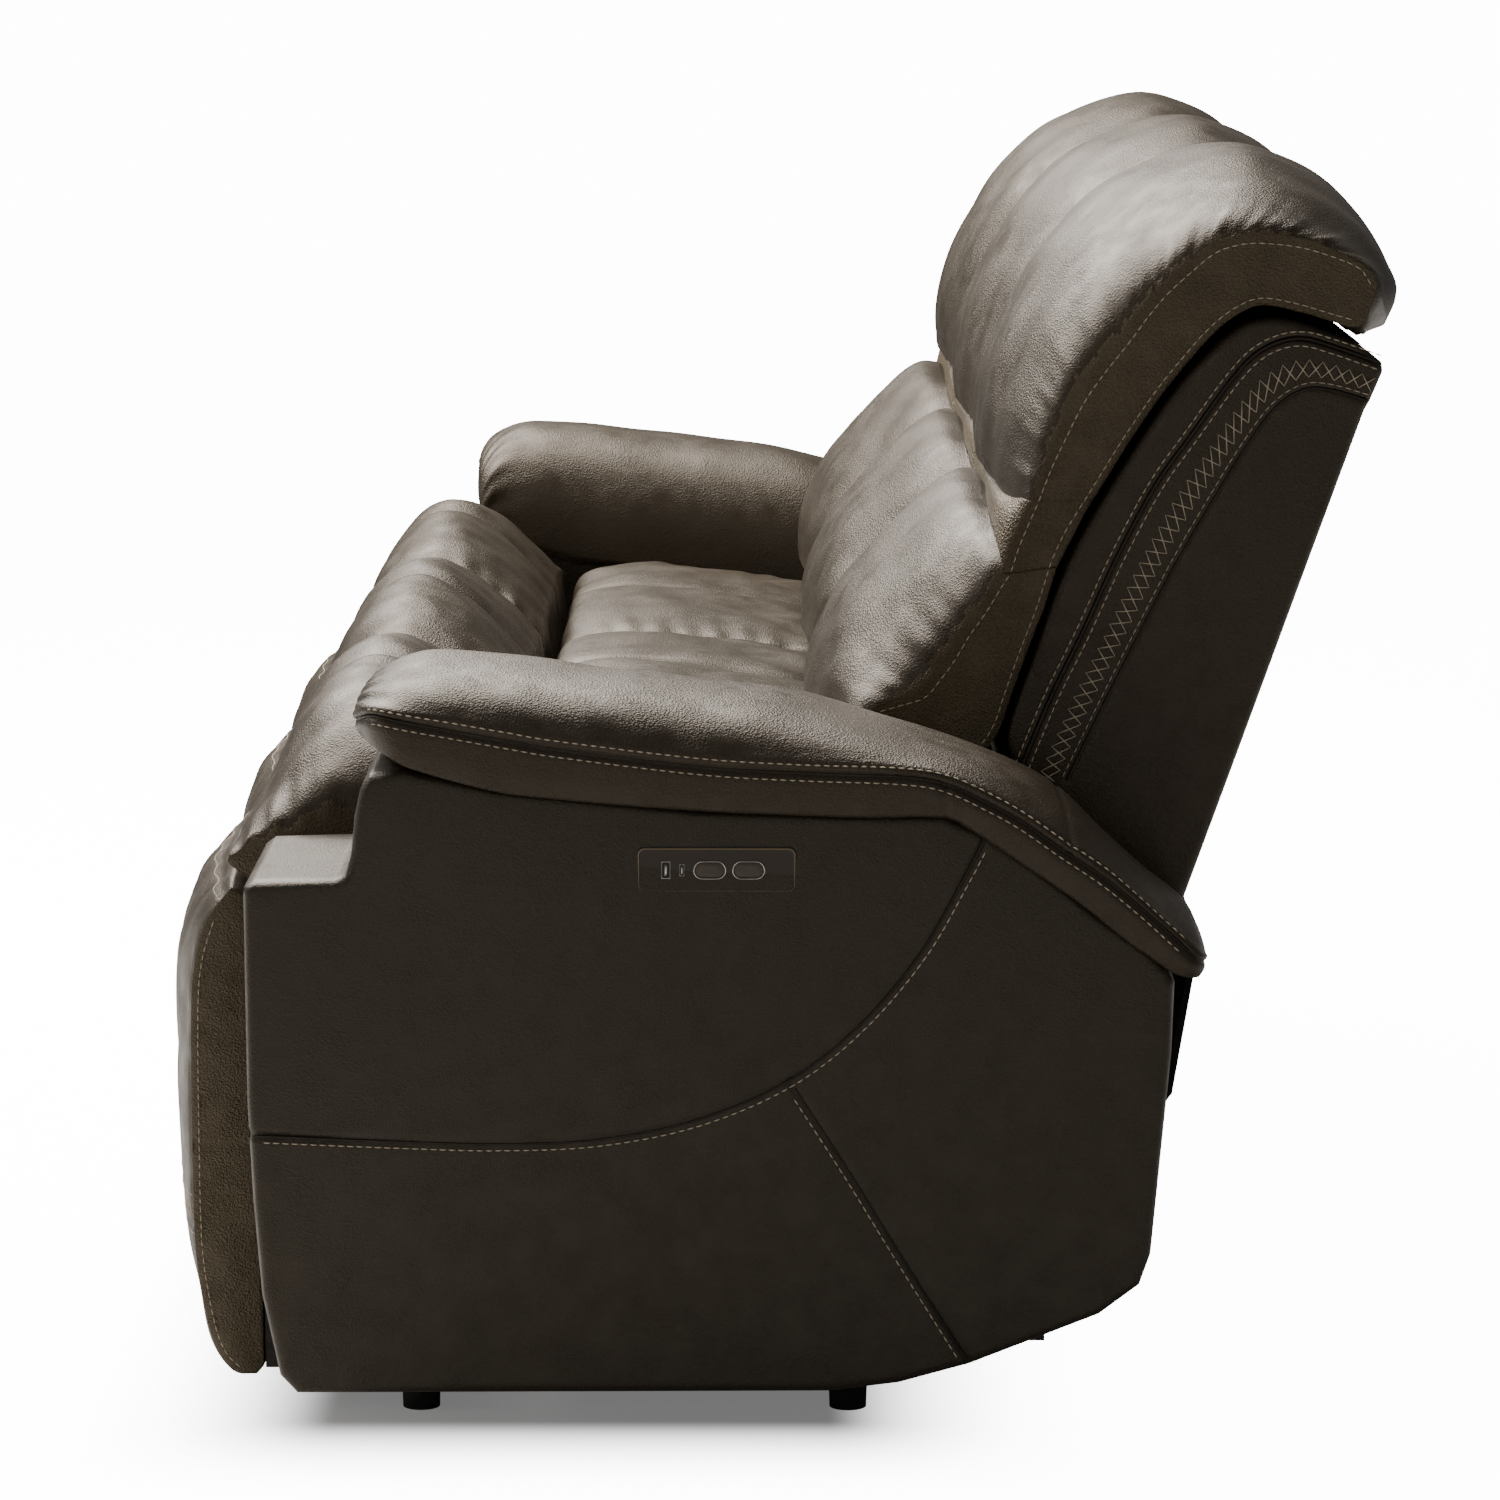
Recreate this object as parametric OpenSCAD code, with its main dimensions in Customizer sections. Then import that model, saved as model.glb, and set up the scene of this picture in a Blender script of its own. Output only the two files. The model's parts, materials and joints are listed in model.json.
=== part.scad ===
// Three-seat power reclining sofa. The two end seats recline, each with a
// folding footrest and a power headrest; the middle seat is fixed.
// Width runs along X, the seats face -Y, and Z = 0 is the floor.

/* [Seats] */
// Width of one seat, from centre to centre
seat_w = 580; // [480:2:700]
// Depth from the foot of the back cushion to the nose of the seat
seat_d = 500; // [450:2:600]
// Height of the seat deck, which the cushions rest on
deck_h = 408; // [390:1:480]
// Thickness of the seat pad
seat_t = 120; // [100:1:150]
// Gap between two neighbouring upholstered pieces
soft_gap = 4; // [3:0.5:8]
/* [Back] */
// Overall height of the sofa
back_h = 1078; // [890:2:1300]
// Wall of the back shell
shell_t = 14; // [10:1:22]
/* [Arms] */
// Width of an arm, between its two side panels' outer faces
arm_w = 238; // [190:2:300]
// Height of the arm pad's crest
arm_h = 677; // [640:1:800]
// Wall of the arm's upholstered panels
panel_t = 14; // [10:1:20]
// Board that the arm frame is built of
board_t = 15; // [12:1:20]
// Height of the arm panels above the floor
floor_gap = 80; // [60:1:100]
/* [Controls] */
// Length of the control plate
plate_l = 128; // [124:1:160]
// Height of the control plate
plate_h = 36; // [34:1:46]
// Length of a rocker button
rocker_l = 26; // [20:0.5:32]
// Height of a rocker button
rocker_h = 14; // [12:0.5:18]
// Running clearance around a rocker button
rocker_gap = 0.6; // [0.5:0.1:1]
/* [Mechanism] */
// Radius of the linkage's pivot pins
pin_r = 5; // [4:0.5:7]
// Radial clearance of a pin in its bore
pin_gap = 0.1; // [0.05:0.01:0.2]
// Thickness of a linkage bar
bar_t = 5; // [4:0.5:7]
// Gap between two linkage bars that pass each other
bar_gap = 3; // [2:0.5:5]
// Length of the long lifting link
link_a_l = 308; // [290:1:320]
// Length of the footrest link
link_b_l = 296.8; // [280:1:310]
// Radius of the cross tubes
tube_r = 12; // [9:0.5:14]
// Height of a foot
foot_h = 60; // [40:1:72]
// Radius of a foot
foot_r = 18; // [12:0.5:19]
// Distance of the outermost rear feet behind the middle.
rear_foot_y = 60; // [0:5:180]

// Gap for the weld or glue where two members of a frame meet
weld = 0.2; // [0.1:0.05:0.5]

/* [Hidden] */
$fn = 48;
sides = ["left", "right"];

// ---- derived places, as [y, z] in the side view ----
foot_y = 30;                       // foot of the back cushions
front_y = foot_y - seat_d;         // nose of the seats
reach = front_y / -470;            // stretch of the outlines ahead of y = 0
half_in = 1.5 * seat_w + soft_gap / 2;  // inner face of an arm
half_out = half_in + arm_w;             // outer face of an arm
half_seat = seat_w / 2 - soft_gap;      // half width of a back shell
half_soft = half_seat - 2;              // half width of a cushion
seat_top = deck_h + soft_gap + seat_t;  // top of the seat pad

// Stretches an outline forwards with the seat, and upwards with the arm or the back.
function fy(y) = y < 0 ? y * reach : y;
function arm_p(p) = [fy(p[0]), floor_gap + (p[1] - 80) * (arm_h - floor_gap) / 597];
function back_p(p) = [p[0], seat_top + (p[1] - 532) * (back_h - seat_top) / 546];
function front_p(p) = [p[0] + front_y + 470, p[1] + deck_h - 408];

// Curve through points, k steps between each two (Catmull-Rom).
function spline(p, k = 4) = let(n = len(p) - 1) concat([
    for (i = [0:n - 1]) let(
        a = p[max(i - 1, 0)], b = p[i], c = p[i + 1], d = p[min(i + 2, n)])
    for (j = [0:k - 1]) let(t = j / k)
        0.5 * (2 * b + (c - a) * t + (2 * a - 5 * b + 4 * c - d) * t * t
            + (3 * b - a - 3 * c + d) * t * t * t)], [p[n]]);

// Outline moved inwards by d, along the mean normal of each corner's two edges.
function unit(v) = v / max(norm(v), 1e-6);
function inset(p, d) = let(n = len(p), s = area(p) > 0 ? 1 : -1) [
    for (i = [0:n - 1]) let(
        u = unit(p[i] - p[(i + n - 1) % n]), v = unit(p[(i + 1) % n] - p[i]),
        m = unit([-u[1] - v[1], u[0] + v[0]]), c = max(m * [-u[1], u[0]], 0.5))
    p[i] + s * m * d / c];
function area(p, i = 0) = i >= len(p) ? 0
    : let(a = p[i], b = p[(i + 1) % len(p)]) (a[0] * b[1] - a[1] * b[0]) / 2 + area(p, i + 1);

// Extrudes a side-view outline along X, from x0 to x1.
module across(x0, x1, outline) {
    translate([x0, 0, 0]) rotate([90, 0, 90]) linear_extrude(x1 - x0) polygon(outline);
}
// Round bar or bore along X, centred on a side-view point.
module rod(x0, x1, p, r) {
    translate([x0, p[0], p[1]]) rotate([0, 90, 0]) cylinder(r = r, h = x1 - x0);
}
// Flat bar with round ends between two side-view points.
module link(x0, x1, a, b, r) {
    d = unit(b - a);
    n = [-d[1], d[0]] * r;
    across(x0, x1, [a + n, b + n, b - n, a - n]);
    rod(x0, x1, a, r);
    rod(x0, x1, b, r);
}
module block(x0, x1, y0, y1, z0, z1) {
    translate([x0, y0, z0]) cube([x1 - x0, y1 - y0, z1 - z0]);
}
// Places a seat's or an arm's pieces: left is +X, right its mirror image.
module at_side(side) { mirror([side == "right" ? 1 : 0, 0, 0]) children(); }
module at_seat(side) {
    at_side(side) translate([side == "centre" ? 0 : seat_w, 0, 0]) children();
}
// The same piece on both sides of a seat's centre line.
module both() { children(); mirror([1, 0, 0]) children(); }

// ---- arms ----
arm_front = [for (p = [[-435, 501], [-434, 323], [-430, 239], [-424, 163], [-410, 95], [-396, 80]])
    arm_p(p)];
arm_base = [for (p = [[41, 82], [98, 89], [156, 105], [262, 147], [295, 172]]) arm_p(p)];
arm_back = [for (p = [[304, 198], [319, 365], [321, 425], [312, 440]]) arm_p(p)];
arm_slope = [for (p = [[300, 452], [259, 481], [218, 514], [169, 547], [133, 563], [56, 564]])
    arm_p(p)];
arm_neck = [for (p = [[-66, 567], [-228, 584], [-304, 600], [-331, 596], [-342, 580],
    [-346, 525], [-356, 508], [-425, 508]]) arm_p(p)];
arm_outline = concat(arm_front, arm_base, arm_back, arm_slope, arm_neck);
plate_y = fy(-51);                             // centre of the control plate
plate_z = arm_p([0, 518])[1];
plate_proud = 2;                               // its bezel stands proud of the panel
plate_depth = 22;                              // its housing behind the bezel
housing_l = plate_l - 8;
housing_h = plate_h - 8;
rocker_y = [plate_y - 5.5, plate_y + rocker_l];  // centres of the two rocker buttons
rocker_t = 8;                                  // thickness of a rocker button
usb_y = [plate_y - 41, plate_y - 28];          // centres of the two charging ports
usb_size = [[7, 14], [3.6, 9.6]];              // width and height of each shell
usb_wall = 0.6;
usb_deep = 12;

// Wooden box frame: two boards joined by posts and rails.
module arm_frame() {
    outline = inset([arm_front[0], arm_front[2], arm_front[5], arm_base[0], arm_base[3],
        arm_base[4], arm_back[1], arm_slope[0], arm_slope[4], arm_neck[0], arm_neck[1],
        arm_neck[3], arm_neck[5], arm_neck[6]], panel_t + 3);
    x0 = half_in + panel_t + 1;
    x1 = half_out - panel_t - 1;
    low = arm_p([0, 80])[1] + panel_t + 8;
    color("burlywood") difference() {
        union() {
            across(x0, x0 + board_t, outline);
            across(x1 - board_t, x1, outline);
            for (y = [fy(-395), fy(-200), 0, 190]) block(x0 + board_t + weld,
                x1 - board_t - weld, y, y + 38, low + 60, low + 260);
            block(x0 + board_t + weld, x1 - board_t - weld, fy(-380), 60, low, low + 40);
        }
        // room for the control plate's housing
        block(x1 - board_t - 1, x1 + 1, plate_y - housing_l / 2 - 3, plate_y + housing_l / 2 + 3,
            plate_z - housing_h / 2 - 3, plate_z + housing_h / 2 + 3);
    }
}
// Upholstered outer panel that wraps around the front, the foot and the rear of the arm.
module arm_outer_panel() {
    color("#353128") difference() {
        across(half_in + panel_t + 0.5, half_out, arm_outline);
        across(half_in, half_out - panel_t, inset(arm_outline, panel_t));
        block(half_out - panel_t - 1, half_out + 1, plate_y - housing_l / 2 - 0.5,
            plate_y + housing_l / 2 + 0.5, plate_z - housing_h / 2 - 0.5,
            plate_z + housing_h / 2 + 0.5);
    }
}
module arm_inner_panel() {
    color("#3a352c") across(half_in, half_in + panel_t, arm_outline);
}
// Padded top: crest line and lower edge in the side view, a domed section across.
pad_crest = spline([for (p = [[-349, 634], [-330, 661], [-282, 677], [-208, 673], [-108, 661],
    [16, 644], [99, 620], [168, 599], [229, 567], [270, 528], [304, 495], [338, 468],
    [350, 446]]) arm_p(p)], 2);
pad_low = spline([for (p = [[-343, 620], [-325, 612], [-290, 600], [-220, 586], [-120, 573],
    [0, 569], [85, 568], [134, 567], [172, 550], [216, 518], [258, 486], [300, 455],
    [328, 436]]) arm_p(p)], 2);
pad_over = 8;                                  // how far the pad stands past the arm's side
pad_round = 3.2;                               // squareness of the dome
module arm_pad() {
    n = len(pad_crest);
    m = 12;
    mid = (half_in + half_out) / 2;
    half = arm_w / 2 + pad_over - 2;
    // each section: a domed top from one side to the other, then a flat foot
    ring = [for (i = [0:m]) let(a = 180 * i / m, c = cos(a), s = sin(a))
        [sign(c) * pow(abs(c), 2 / pad_round), pow(s, 2 / pad_round)]];
    pts = [for (k = [0:n - 1], q = ring) let(
        lo = pad_low[k], hi = pad_crest[k],
        w = half * (k < 3 ? [0.86, 0.95, 0.99][k] : 1))
        concat([mid + q[0] * w], lo + (hi - lo) * (0.02 + 0.98 * q[1]))];
    faces = concat(
        [for (k = [0:n - 2], i = [0:m]) let(j = (i + 1) % (m + 1), b = m + 1)
            [k * b + i, k * b + j, (k + 1) * b + j, (k + 1) * b + i]],
        [[for (i = [m:-1:0]) i]], [[for (i = [0:m]) (n - 1) * (m + 1) + i]]);
    color("#6b6358") polyhedron(pts, faces, convexity = 6);
}
// Stadium outline, long side along Y, extruded along X.
module stadium(x0, x1, y, z, l, h) {
    union() {
        block(x0, x1, y - l / 2 + h / 2, y + l / 2 - h / 2, z - h / 2, z + h / 2);
        for (s = [-1, 1]) rod(x0, x1, [y + s * (l - h) / 2, z], h / 2);
    }
}
module control_plate() {
    x = half_out;
    color("#40392e") difference() {
        union() {
            block(x + 0.2, x + plate_proud, plate_y - plate_l / 2, plate_y + plate_l / 2,
                plate_z - plate_h / 2, plate_z + plate_h / 2);
            block(x - plate_depth, x + 0.2, plate_y - housing_l / 2, plate_y + housing_l / 2,
                plate_z - housing_h / 2, plate_z + housing_h / 2);
        }
        for (y = rocker_y) stadium(x - rocker_t - 3, x + plate_proud + 1, y, plate_z,
            rocker_l + 2 * rocker_gap, rocker_h + 2 * rocker_gap);
        for (i = [0, 1]) block(x - usb_deep - 1, x + plate_proud + 1,
            usb_y[i] - usb_size[i][0] / 2 - 0.1, usb_y[i] + usb_size[i][0] / 2 + 0.1,
            plate_z - usb_size[i][1] / 2 - 0.1, plate_z + usb_size[i][1] / 2 + 0.1);
    }
}
module control_plates() { for (s = sides) at_side(s) control_plate(); }
// Charging ports: a thin metal shell around a tongue.
module usb_port(i) {
    x1 = half_out + plate_proud;
    x0 = half_out - usb_deep;
    w = usb_size[i][0];
    h = usb_size[i][1];
    translate([0, usb_y[i], plate_z]) {
        difference() {
            block(x0, x1, -w / 2, w / 2, -h / 2, h / 2);
            block(x0 + 2, x1 + 1, -w / 2 + usb_wall, w / 2 - usb_wall,
                -h / 2 + usb_wall, h / 2 - usb_wall);
        }
        block(x0 + 1, x1 - 1, -w / 12, w / 4, -h / 2 + 1.6, h / 2 - 1.6);
    }
}
module usb_ports() {
    color("silver") for (s = sides) at_side(s) for (i = [0, 1]) usb_port(i);
}
module rocker(i) {
    color("#5a5249") stadium(half_out + plate_proud - rocker_t, half_out + plate_proud,
        rocker_y[i], plate_z, rocker_l, rocker_h);
}

// ---- base ----
rail_y = [-110, 190];                          // front edges of the two long base rails
rail_w = 40;
runner_h = 24;                                 // height of the runners that the feet are under
runner_y = [fy(-330), 230];                    // ends of the runners and of the glide rails
rail_top = foot_h + runner_h + rail_w;
glide_x = [266, 280];                          // a glide rail, from the seat's centre
function from_edge(x) = seat_w / 2 - 290 + x;  // keeps mechanism places at the seat's edge
glide_z = [deck_h - 108, deck_h - 96];
module base_frame() {
    x0 = from_edge(glide_x[0]);
    x1 = from_edge(glide_x[1]);
    color("#2b2b2b") {
        for (y = rail_y) block(-half_in, half_in, y, y + rail_w, rail_top - rail_w, rail_top);
        for (s = sides) at_seat(s) both() {
            block(x0, x1, runner_y[0], runner_y[1], foot_h, foot_h + runner_h - weld);
            block(x0, x1, runner_y[0], runner_y[1], glide_z[0], glide_z[1]);
            for (y = rail_y)
                block(x0, x1, y, y + rail_w, rail_top + weld, glide_z[0] - weld);
        }
    }
}
// Plastic glides under both ends of the four runners. At the rear the outermost ones stand
// further forward, where the arm covers them.
module feet() {
    x = from_edge(glide_x[0] + glide_x[1]) / 2 + from_edge(0) / 2;
    color("#1c1c1c") for (s = sides) at_seat(s) for (k = [-1, 1])
        for (y = [runner_y[0] + 20, k > 0 ? rear_foot_y : runner_y[1] - 20])
            translate([k * x, y, 0]) cylinder(r1 = foot_r - 2, r2 = foot_r, h = foot_h);
}
// Dust cover that closes the back below the shells, and its thickness.
skirt_t = 6;
module rear_skirt() {
    line = [[351, 424], [351, 401], [331, 284], [296, 240], [276, 130]];
    color("#141414") across(-half_in, half_in, concat(line,
        [for (i = [len(line) - 1:-1:0]) line[i] + [skirt_t, i > 1 ? -3 : 0]]));
}
// Low-voltage socket at the rear rail.
module power_inlet() {
    translate([seat_w * 1.1, rail_y[1] + rail_w, rail_top - 20]) color("#202020") difference() {
        block(-20, 20, 0, 26, -14, 14);
        translate([0, 14, 0]) rotate([-90, 0, 0]) cylinder(r = 4, h = 13);
    }
}

// ---- seats ----
p1 = [front_y + 270, deck_h - 38];             // lifting link's pivot on the seat frame
p2 = p1 + [-link_a_l * cos(-96.4), link_a_l * sin(-96.4)];
p3 = p2 + link_b_l * unit([-246, 166]);        // pivot of the footrest's bracket
hip = [150, deck_h - 28];                      // pivot of the back on the seat frame
plate_x = [257, 262];                          // seat side plate, from the seat's centre
link_a_x = plate_x[0] - bar_gap - bar_t;
link_b_x = link_a_x - bar_gap - bar_t;
bracket_x = link_b_x - bar_gap - bar_t;
flap_pin = [front_y + 38, deck_h + 24];
bar_r = 12;                                    // half width of a linkage bar
small_pin_r = 3;                               // pins of the flap and the headrest

module seat_plates() {
    lo = deck_h - 78;
    hi = deck_h - 13;
    difference() {
        union() {
            across(from_edge(plate_x[0]), from_edge(plate_x[1]), [[front_y + 62, hi],
                [front_y + 62, hi - 30], [front_y + 140, lo], [100, lo], [hip[0] + 24, lo + 20],
                [hip[0] + 24, hip[1] + 22], [hip[0] - 24, hip[1] + 22], [hip[0] - 34, hi]]);
            // runner that slides on the glide rail, 0.5 mm above it
            block(from_edge(plate_x[1]) - 1, from_edge(glide_x[1]), front_y + 90, 140,
                glide_z[1] + 0.5, glide_z[1] + 12.5);
            block(from_edge(plate_x[0]), from_edge(plate_x[1]), front_y + 100, 130,
                glide_z[1] + 0.5, lo + 10);
        }
        rod(from_edge(plate_x[0]) - 1, from_edge(glide_x[1]) + 1, hip, pin_r + pin_gap);
    }
    // pin of the lifting link, and its head
    rod(from_edge(link_a_x) - 2, from_edge(plate_x[0]) + 1, p1, pin_r);
    rod(from_edge(link_a_x) - 4, from_edge(link_a_x) - 1, p1, pin_r + 3);
}
// Steel frame of a reclining seat: side plates, cross tubes and spring rails.
module seat_frame() {
    x = from_edge(plate_x[0]) - weld;
    color("#3c3c3c") {
        both() seat_plates();
        rod(-x, x, [front_y + 110, deck_h - 36], tube_r);
        rod(-x, x, [90, deck_h - 50], tube_r);
        for (y = [front_y + 65, 96]) block(-x, x, y, y + 20, deck_h - 26, deck_h);
        // tongues that carry the flap's hinge
        both() link(120, 126, [front_y + 58, deck_h - 6], flap_pin, 6);
        both() rod(112, 127, flap_pin, small_pin_r);
    }
}
// Fixed wooden box under the middle seat.
module seat_frame_centre() {
    x = from_edge(280);
    y0 = front_y + 50;
    color("burlywood") {
        both() block(x - 18, x, y0, 170, rail_top, deck_h);
        for (y = [y0, 150])
            block(-x + 18 + weld, x - 18 - weld, y, y + 20, deck_h - 120, deck_h);
        block(-x + 18 + weld, x - 18 - weld, y0, y0 + 20, 110, 180);
    }
}
// Zigzag springs in a row, each a flat wave between the spring rails.
spring_t = 4;
wave = 24;                                     // half width of a spring's wave
pitch = 44;                                    // length of one wave
module seat_springs(side) {
    y0 = front_y + (side == "centre" ? 52 : 67);
    y1 = side == "centre" ? 168 : 114;
    n = 5;
    waves = round((y1 - y0) / pitch);
    steps = waves * 12;
    line = [for (i = [0:steps]) [wave * sin(360 * waves * i / steps), y0 + (y1 - y0) * i / steps]];
    rim = [for (i = [0:steps]) let(
        d = unit(line[min(i + 1, steps)] - line[max(i - 1, 0)])) [-d[1], d[0]] * spring_t / 2];
    outline = concat([for (i = [0:steps]) line[i] + rim[i]],
        [for (i = [steps:-1:0]) line[i] - rim[i]]);
    color("#8a8a8a") for (k = [0:n - 1]) translate([(k - (n - 1) / 2) * seat_w * 0.16, 0,
        deck_h + 0.3]) linear_extrude(spring_t - 1) polygon(outline);
}
pad_outline = [[front_y + 243, 0], [front_y + 243, seat_t - 12], [front_y + 253, seat_t - 3],
    [front_y + 300, seat_t + 1], [front_y + 363, seat_t], [10, seat_t - 17], [30, seat_t - 24],
    [104, seat_t - 26], [112, seat_t - 32], [112, 0]];
function on_deck(p) = [p[0], p[1] + deck_h + soft_gap];
module seat_cushion() {
    color("#5e554d") across(-half_soft, half_soft, [for (p = pad_outline) on_deck(p)]);
}
// Rolled front of the seat: over the crest, and down the waterfall front.
roll_top = spline([[-470, 484], [-441, 537], [-428, 572], [-410, 598], [-391, 618],
    [-369, 626], [-347, 626], [-325, 617], [-300, 598], [-270, 566], [-245, 540]], 2);
roll_outline = concat([[-234, 530], [-234, 412], [-405, 412], [-440, 462], [-466, 478]],
    roll_top);
module seat_roll() {
    color("#857d73") across(-half_soft, half_soft, [for (p = roll_outline) front_p(p)]);
}

// ---- drive ----
screw_y = [-230, 30];
screw_z = deck_h - 128;
block_y = -40;                                 // front of the drive block at rest
module drive_motor() {
    hanger = 6;
    translate([0, 0, screw_z]) color("#1f1f1f") {
        difference() {
            union() {
                block(-26, 26, screw_y[1], screw_y[1] + 46, -30, 26);
                translate([0, screw_y[1] + 23, -29]) cylinder(r = 24, h = 1);
                translate([0, screw_y[1] + 23, -120]) cylinder(r = 24, h = 92);
            }
            translate([0, screw_y[1] - 1, 0]) rotate([-90, 0, 0]) cylinder(r = 8, h = 6);
        }
        translate([0, screw_y[0], 0]) rotate([-90, 0, 0])
            cylinder(r = 7, h = screw_y[1] - screw_y[0] + 4);
        // hanger from the motor up to the rear cross tube
        block(-hanger, hanger, 76, 96, 20, deck_h - 50 - tube_r - screw_z);
        block(-26, 26, 60, 96, 20, 26);
    }
}
// Nut that the screw drives along, and pushes the lifting link with.
module drive_block() {
    color("#d0cdc4") difference() {
        block(-18, 18, block_y, block_y + 36, screw_z - 16, screw_z + 16);
        translate([0, block_y - 1, screw_z]) rotate([-90, 0, 0]) cylinder(r = 7.3, h = 38);
    }
}

// ---- footrest linkage ----
module link_a() {
    x0 = from_edge(link_a_x);
    x1 = x0 + bar_t;
    color("#4a4a4a") {
        both() difference() {
            link(x0, x1, p1, p2, bar_r);
            rod(x0 - 1, x1 + 1, p1, pin_r + pin_gap);
        }
        both() rod(x0 - bar_gap - bar_t - 2, x0 + 1, p2, pin_r);
        both() rod(x0 - bar_gap - bar_t - 4, x0 - bar_gap - bar_t - 1, p2, pin_r + 3);
        // torsion tube that keeps the two bars together
        q = p1 + 0.62 * (p2 - p1);
        rod(-x0 + weld, x0 - weld, q, tube_r - 3);
    }
}
module link_b() {
    x0 = from_edge(link_b_x);
    x1 = x0 + bar_t;
    color("#565656") {
        both() difference() {
            link(x0, x1, p2, p3, bar_r);
            rod(x0 - 1, x1 + 1, p2, pin_r + pin_gap);
        }
        both() rod(x0 - bar_gap - bar_t - 2, x0 + 1, p3, pin_r);
        both() rod(x0 - bar_gap - bar_t - 4, x0 - bar_gap - bar_t - 1, p3, pin_r + 3);
        q = p2 + 0.5 * (p3 - p2);
        rod(-x0 + weld, x0 - weld, q, tube_r - 4);
    }
}
board_back = front_y + 43;                     // rear face of the footrest board
board_z = [35, deck_h - 73];
module footrest_board() {
    x0 = from_edge(bracket_x);
    color("#231f1a") {
        block(-half_soft + 6, half_soft - 6, board_back - 17.5, board_back, board_z[0], board_z[1]);
        both() difference() {
            across(x0, x0 + bar_t, [[board_back - 1, p3[1] - 30], [board_back - 1, p3[1] + 30],
                [p3[0] + 10, p3[1] + 10], [p3[0] + 10, p3[1] - 10]]);
            rod(x0 - 1, x0 + bar_t + 1, p3, pin_r + pin_gap);
        }
    }
}
rest_front = spline([[-455, 26], [-480, 28], [-500, 45], [-515, 80], [-530, 150], [-536, 233],
    [-537, 307], [-534, 380], [-526, 412], [-511, 438], [-472, 474]], 2);
rest_outline = concat([[-445, 456], [-445, 35]], rest_front);
function rest_p(p) = [p[0] + front_y + 470,
    p[1] > 300 ? p[1] + deck_h - 408 : 26 + (p[1] - 26) * (deck_h - 134) / 274];
module footrest_pad() {
    color("#3f3a30") across(-half_soft, half_soft, [for (p = rest_outline) rest_p(p)]);
}
flap_l = 85;
module chaise_flap() {
    y0 = flap_pin[0] - 7;
    color("#2f2b24") difference() {
        union() {
            block(-half_soft + 4, half_soft - 4, y0, y0 + 14, flap_pin[1] - flap_l, flap_pin[1] - 22);
            both() block(112.5, 119, y0, y0 + 14, flap_pin[1] - 23, flap_pin[1] + 7);
        }
        rod(-120, 120, flap_pin, small_pin_r + pin_gap);
    }
}
// Fixed front of the middle seat, on the same outline as the footrests.
module front_panel_centre() {
    color("#3f3a30") union() {
        across(-half_soft, half_soft, [for (p = rest_outline) rest_p(p)]);
        for (s = [-1, 1]) block(s * 180 - 20, s * 180 + 20, front_y + 24, front_y + 50, 120, 170);
    }
}

// ---- backs ----
// Rear line of the cushions, from the foot to the crown.
back_line = [[150, 545], [187, 595], [211, 664], [238, 741], [274, 806], [321, 879], [352, 921],
    [378, 948], [407, 958], [435, 953], [462, 944], [493, 934]];
// The shell's outline: along the back line, over the lip, down the rear.
shell_top = [for (p = [[193, 587], [217, 662], [244, 738], [279, 802], [326, 875], [360, 915],
    [385, 938], [409, 946], [433, 943], [460, 934], [490, 923], [508, 908], [509, 900],
    [498, 876], [493, 867]]) back_p(p)];
shell_foot = [for (p = [[345, 446], [318, 446], [212, 548]]) back_p(p)];
shell_outline = concat(shell_foot, shell_top);
module back_shell() {
    // the pocket follows the outside, is open towards the cushions, and lets the bars out
    p = concat(shell_foot, [shell_top[1], shell_top[3], shell_top[5], shell_top[7],
        shell_top[9], shell_top[11], shell_top[14]]);
    inner = inset(p, shell_t);
    v = unit(p[2] - p[1]);
    q = (inner[1] + inner[2]) / 2;
    pocket = [inner[0], inner[1], q, q + (shell_t + 5) * [-v[1], v[0]], p[2] - [40, 20],
        inner[3] - [90, 0], inner[4] - [74, -30], inner[5], inner[6], inner[7], inner[8],
        inner[9]];
    color("#403b31") difference() {
        across(-half_seat, half_seat, shell_outline);
        across(-half_seat + shell_t, half_seat - shell_t, pocket);
    }
}
// Steel frame inside the shell: two bent side bars, cross bars and the hip plates.
valley = back_p([205, 780]);                   // hinge line of the headrest
neck = back_p([260, 779]);                     // bend of the hinge's arms
frame_line = [hip, back_p([205, 520]), back_p([258, 640]), back_p([352, 840]),
    back_p([400, 906])];
frame_x = [262.6, 268.6];
module back_frame(jointed = true) {
    x0 = from_edge(frame_x[0]);
    x1 = from_edge(frame_x[1]);
    color("#464646") {
        both() difference() {
            union() {
                for (i = [1:3]) link(x0, x1, frame_line[i], frame_line[i + 1], 11);
                link(x0, x1, jointed ? hip : [140, deck_h + 14], frame_line[1], 14);
            }
            if (jointed) rod(x0 - 1, x1 + 1, hip, pin_r + pin_gap - 0.01);
        }
        if (jointed) both() rod(from_edge(plate_x[0]) - 3, x1, hip, pin_r);
        for (i = [1, 2, 3]) rod(-x0 + weld, x0 - weld, frame_line[i], 9);
        if (jointed) both() {
            link(144, 148, valley, neck, 6);
            link(144, 148, neck, frame_line[3], 6);
            rod(143, 155, valley, small_pin_r);
        }
    }
}
lumbar_front = spline([for (p = [[40, 546], [26, 566], [24, 590], [31, 633], [54, 681],
    [91, 725], [132, 764], [164, 781]]) back_p(p)], 3);
lumbar_rear = [for (p = [[196, 768], [236, 754], [236, 738], [208, 664], [184, 597],
    [160, 556], [152, 546]]) back_p(p)];
module lumbar_cushion() {
    color("#90887d") across(-half_soft, half_soft, concat(lumbar_front, lumbar_rear));
}
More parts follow.
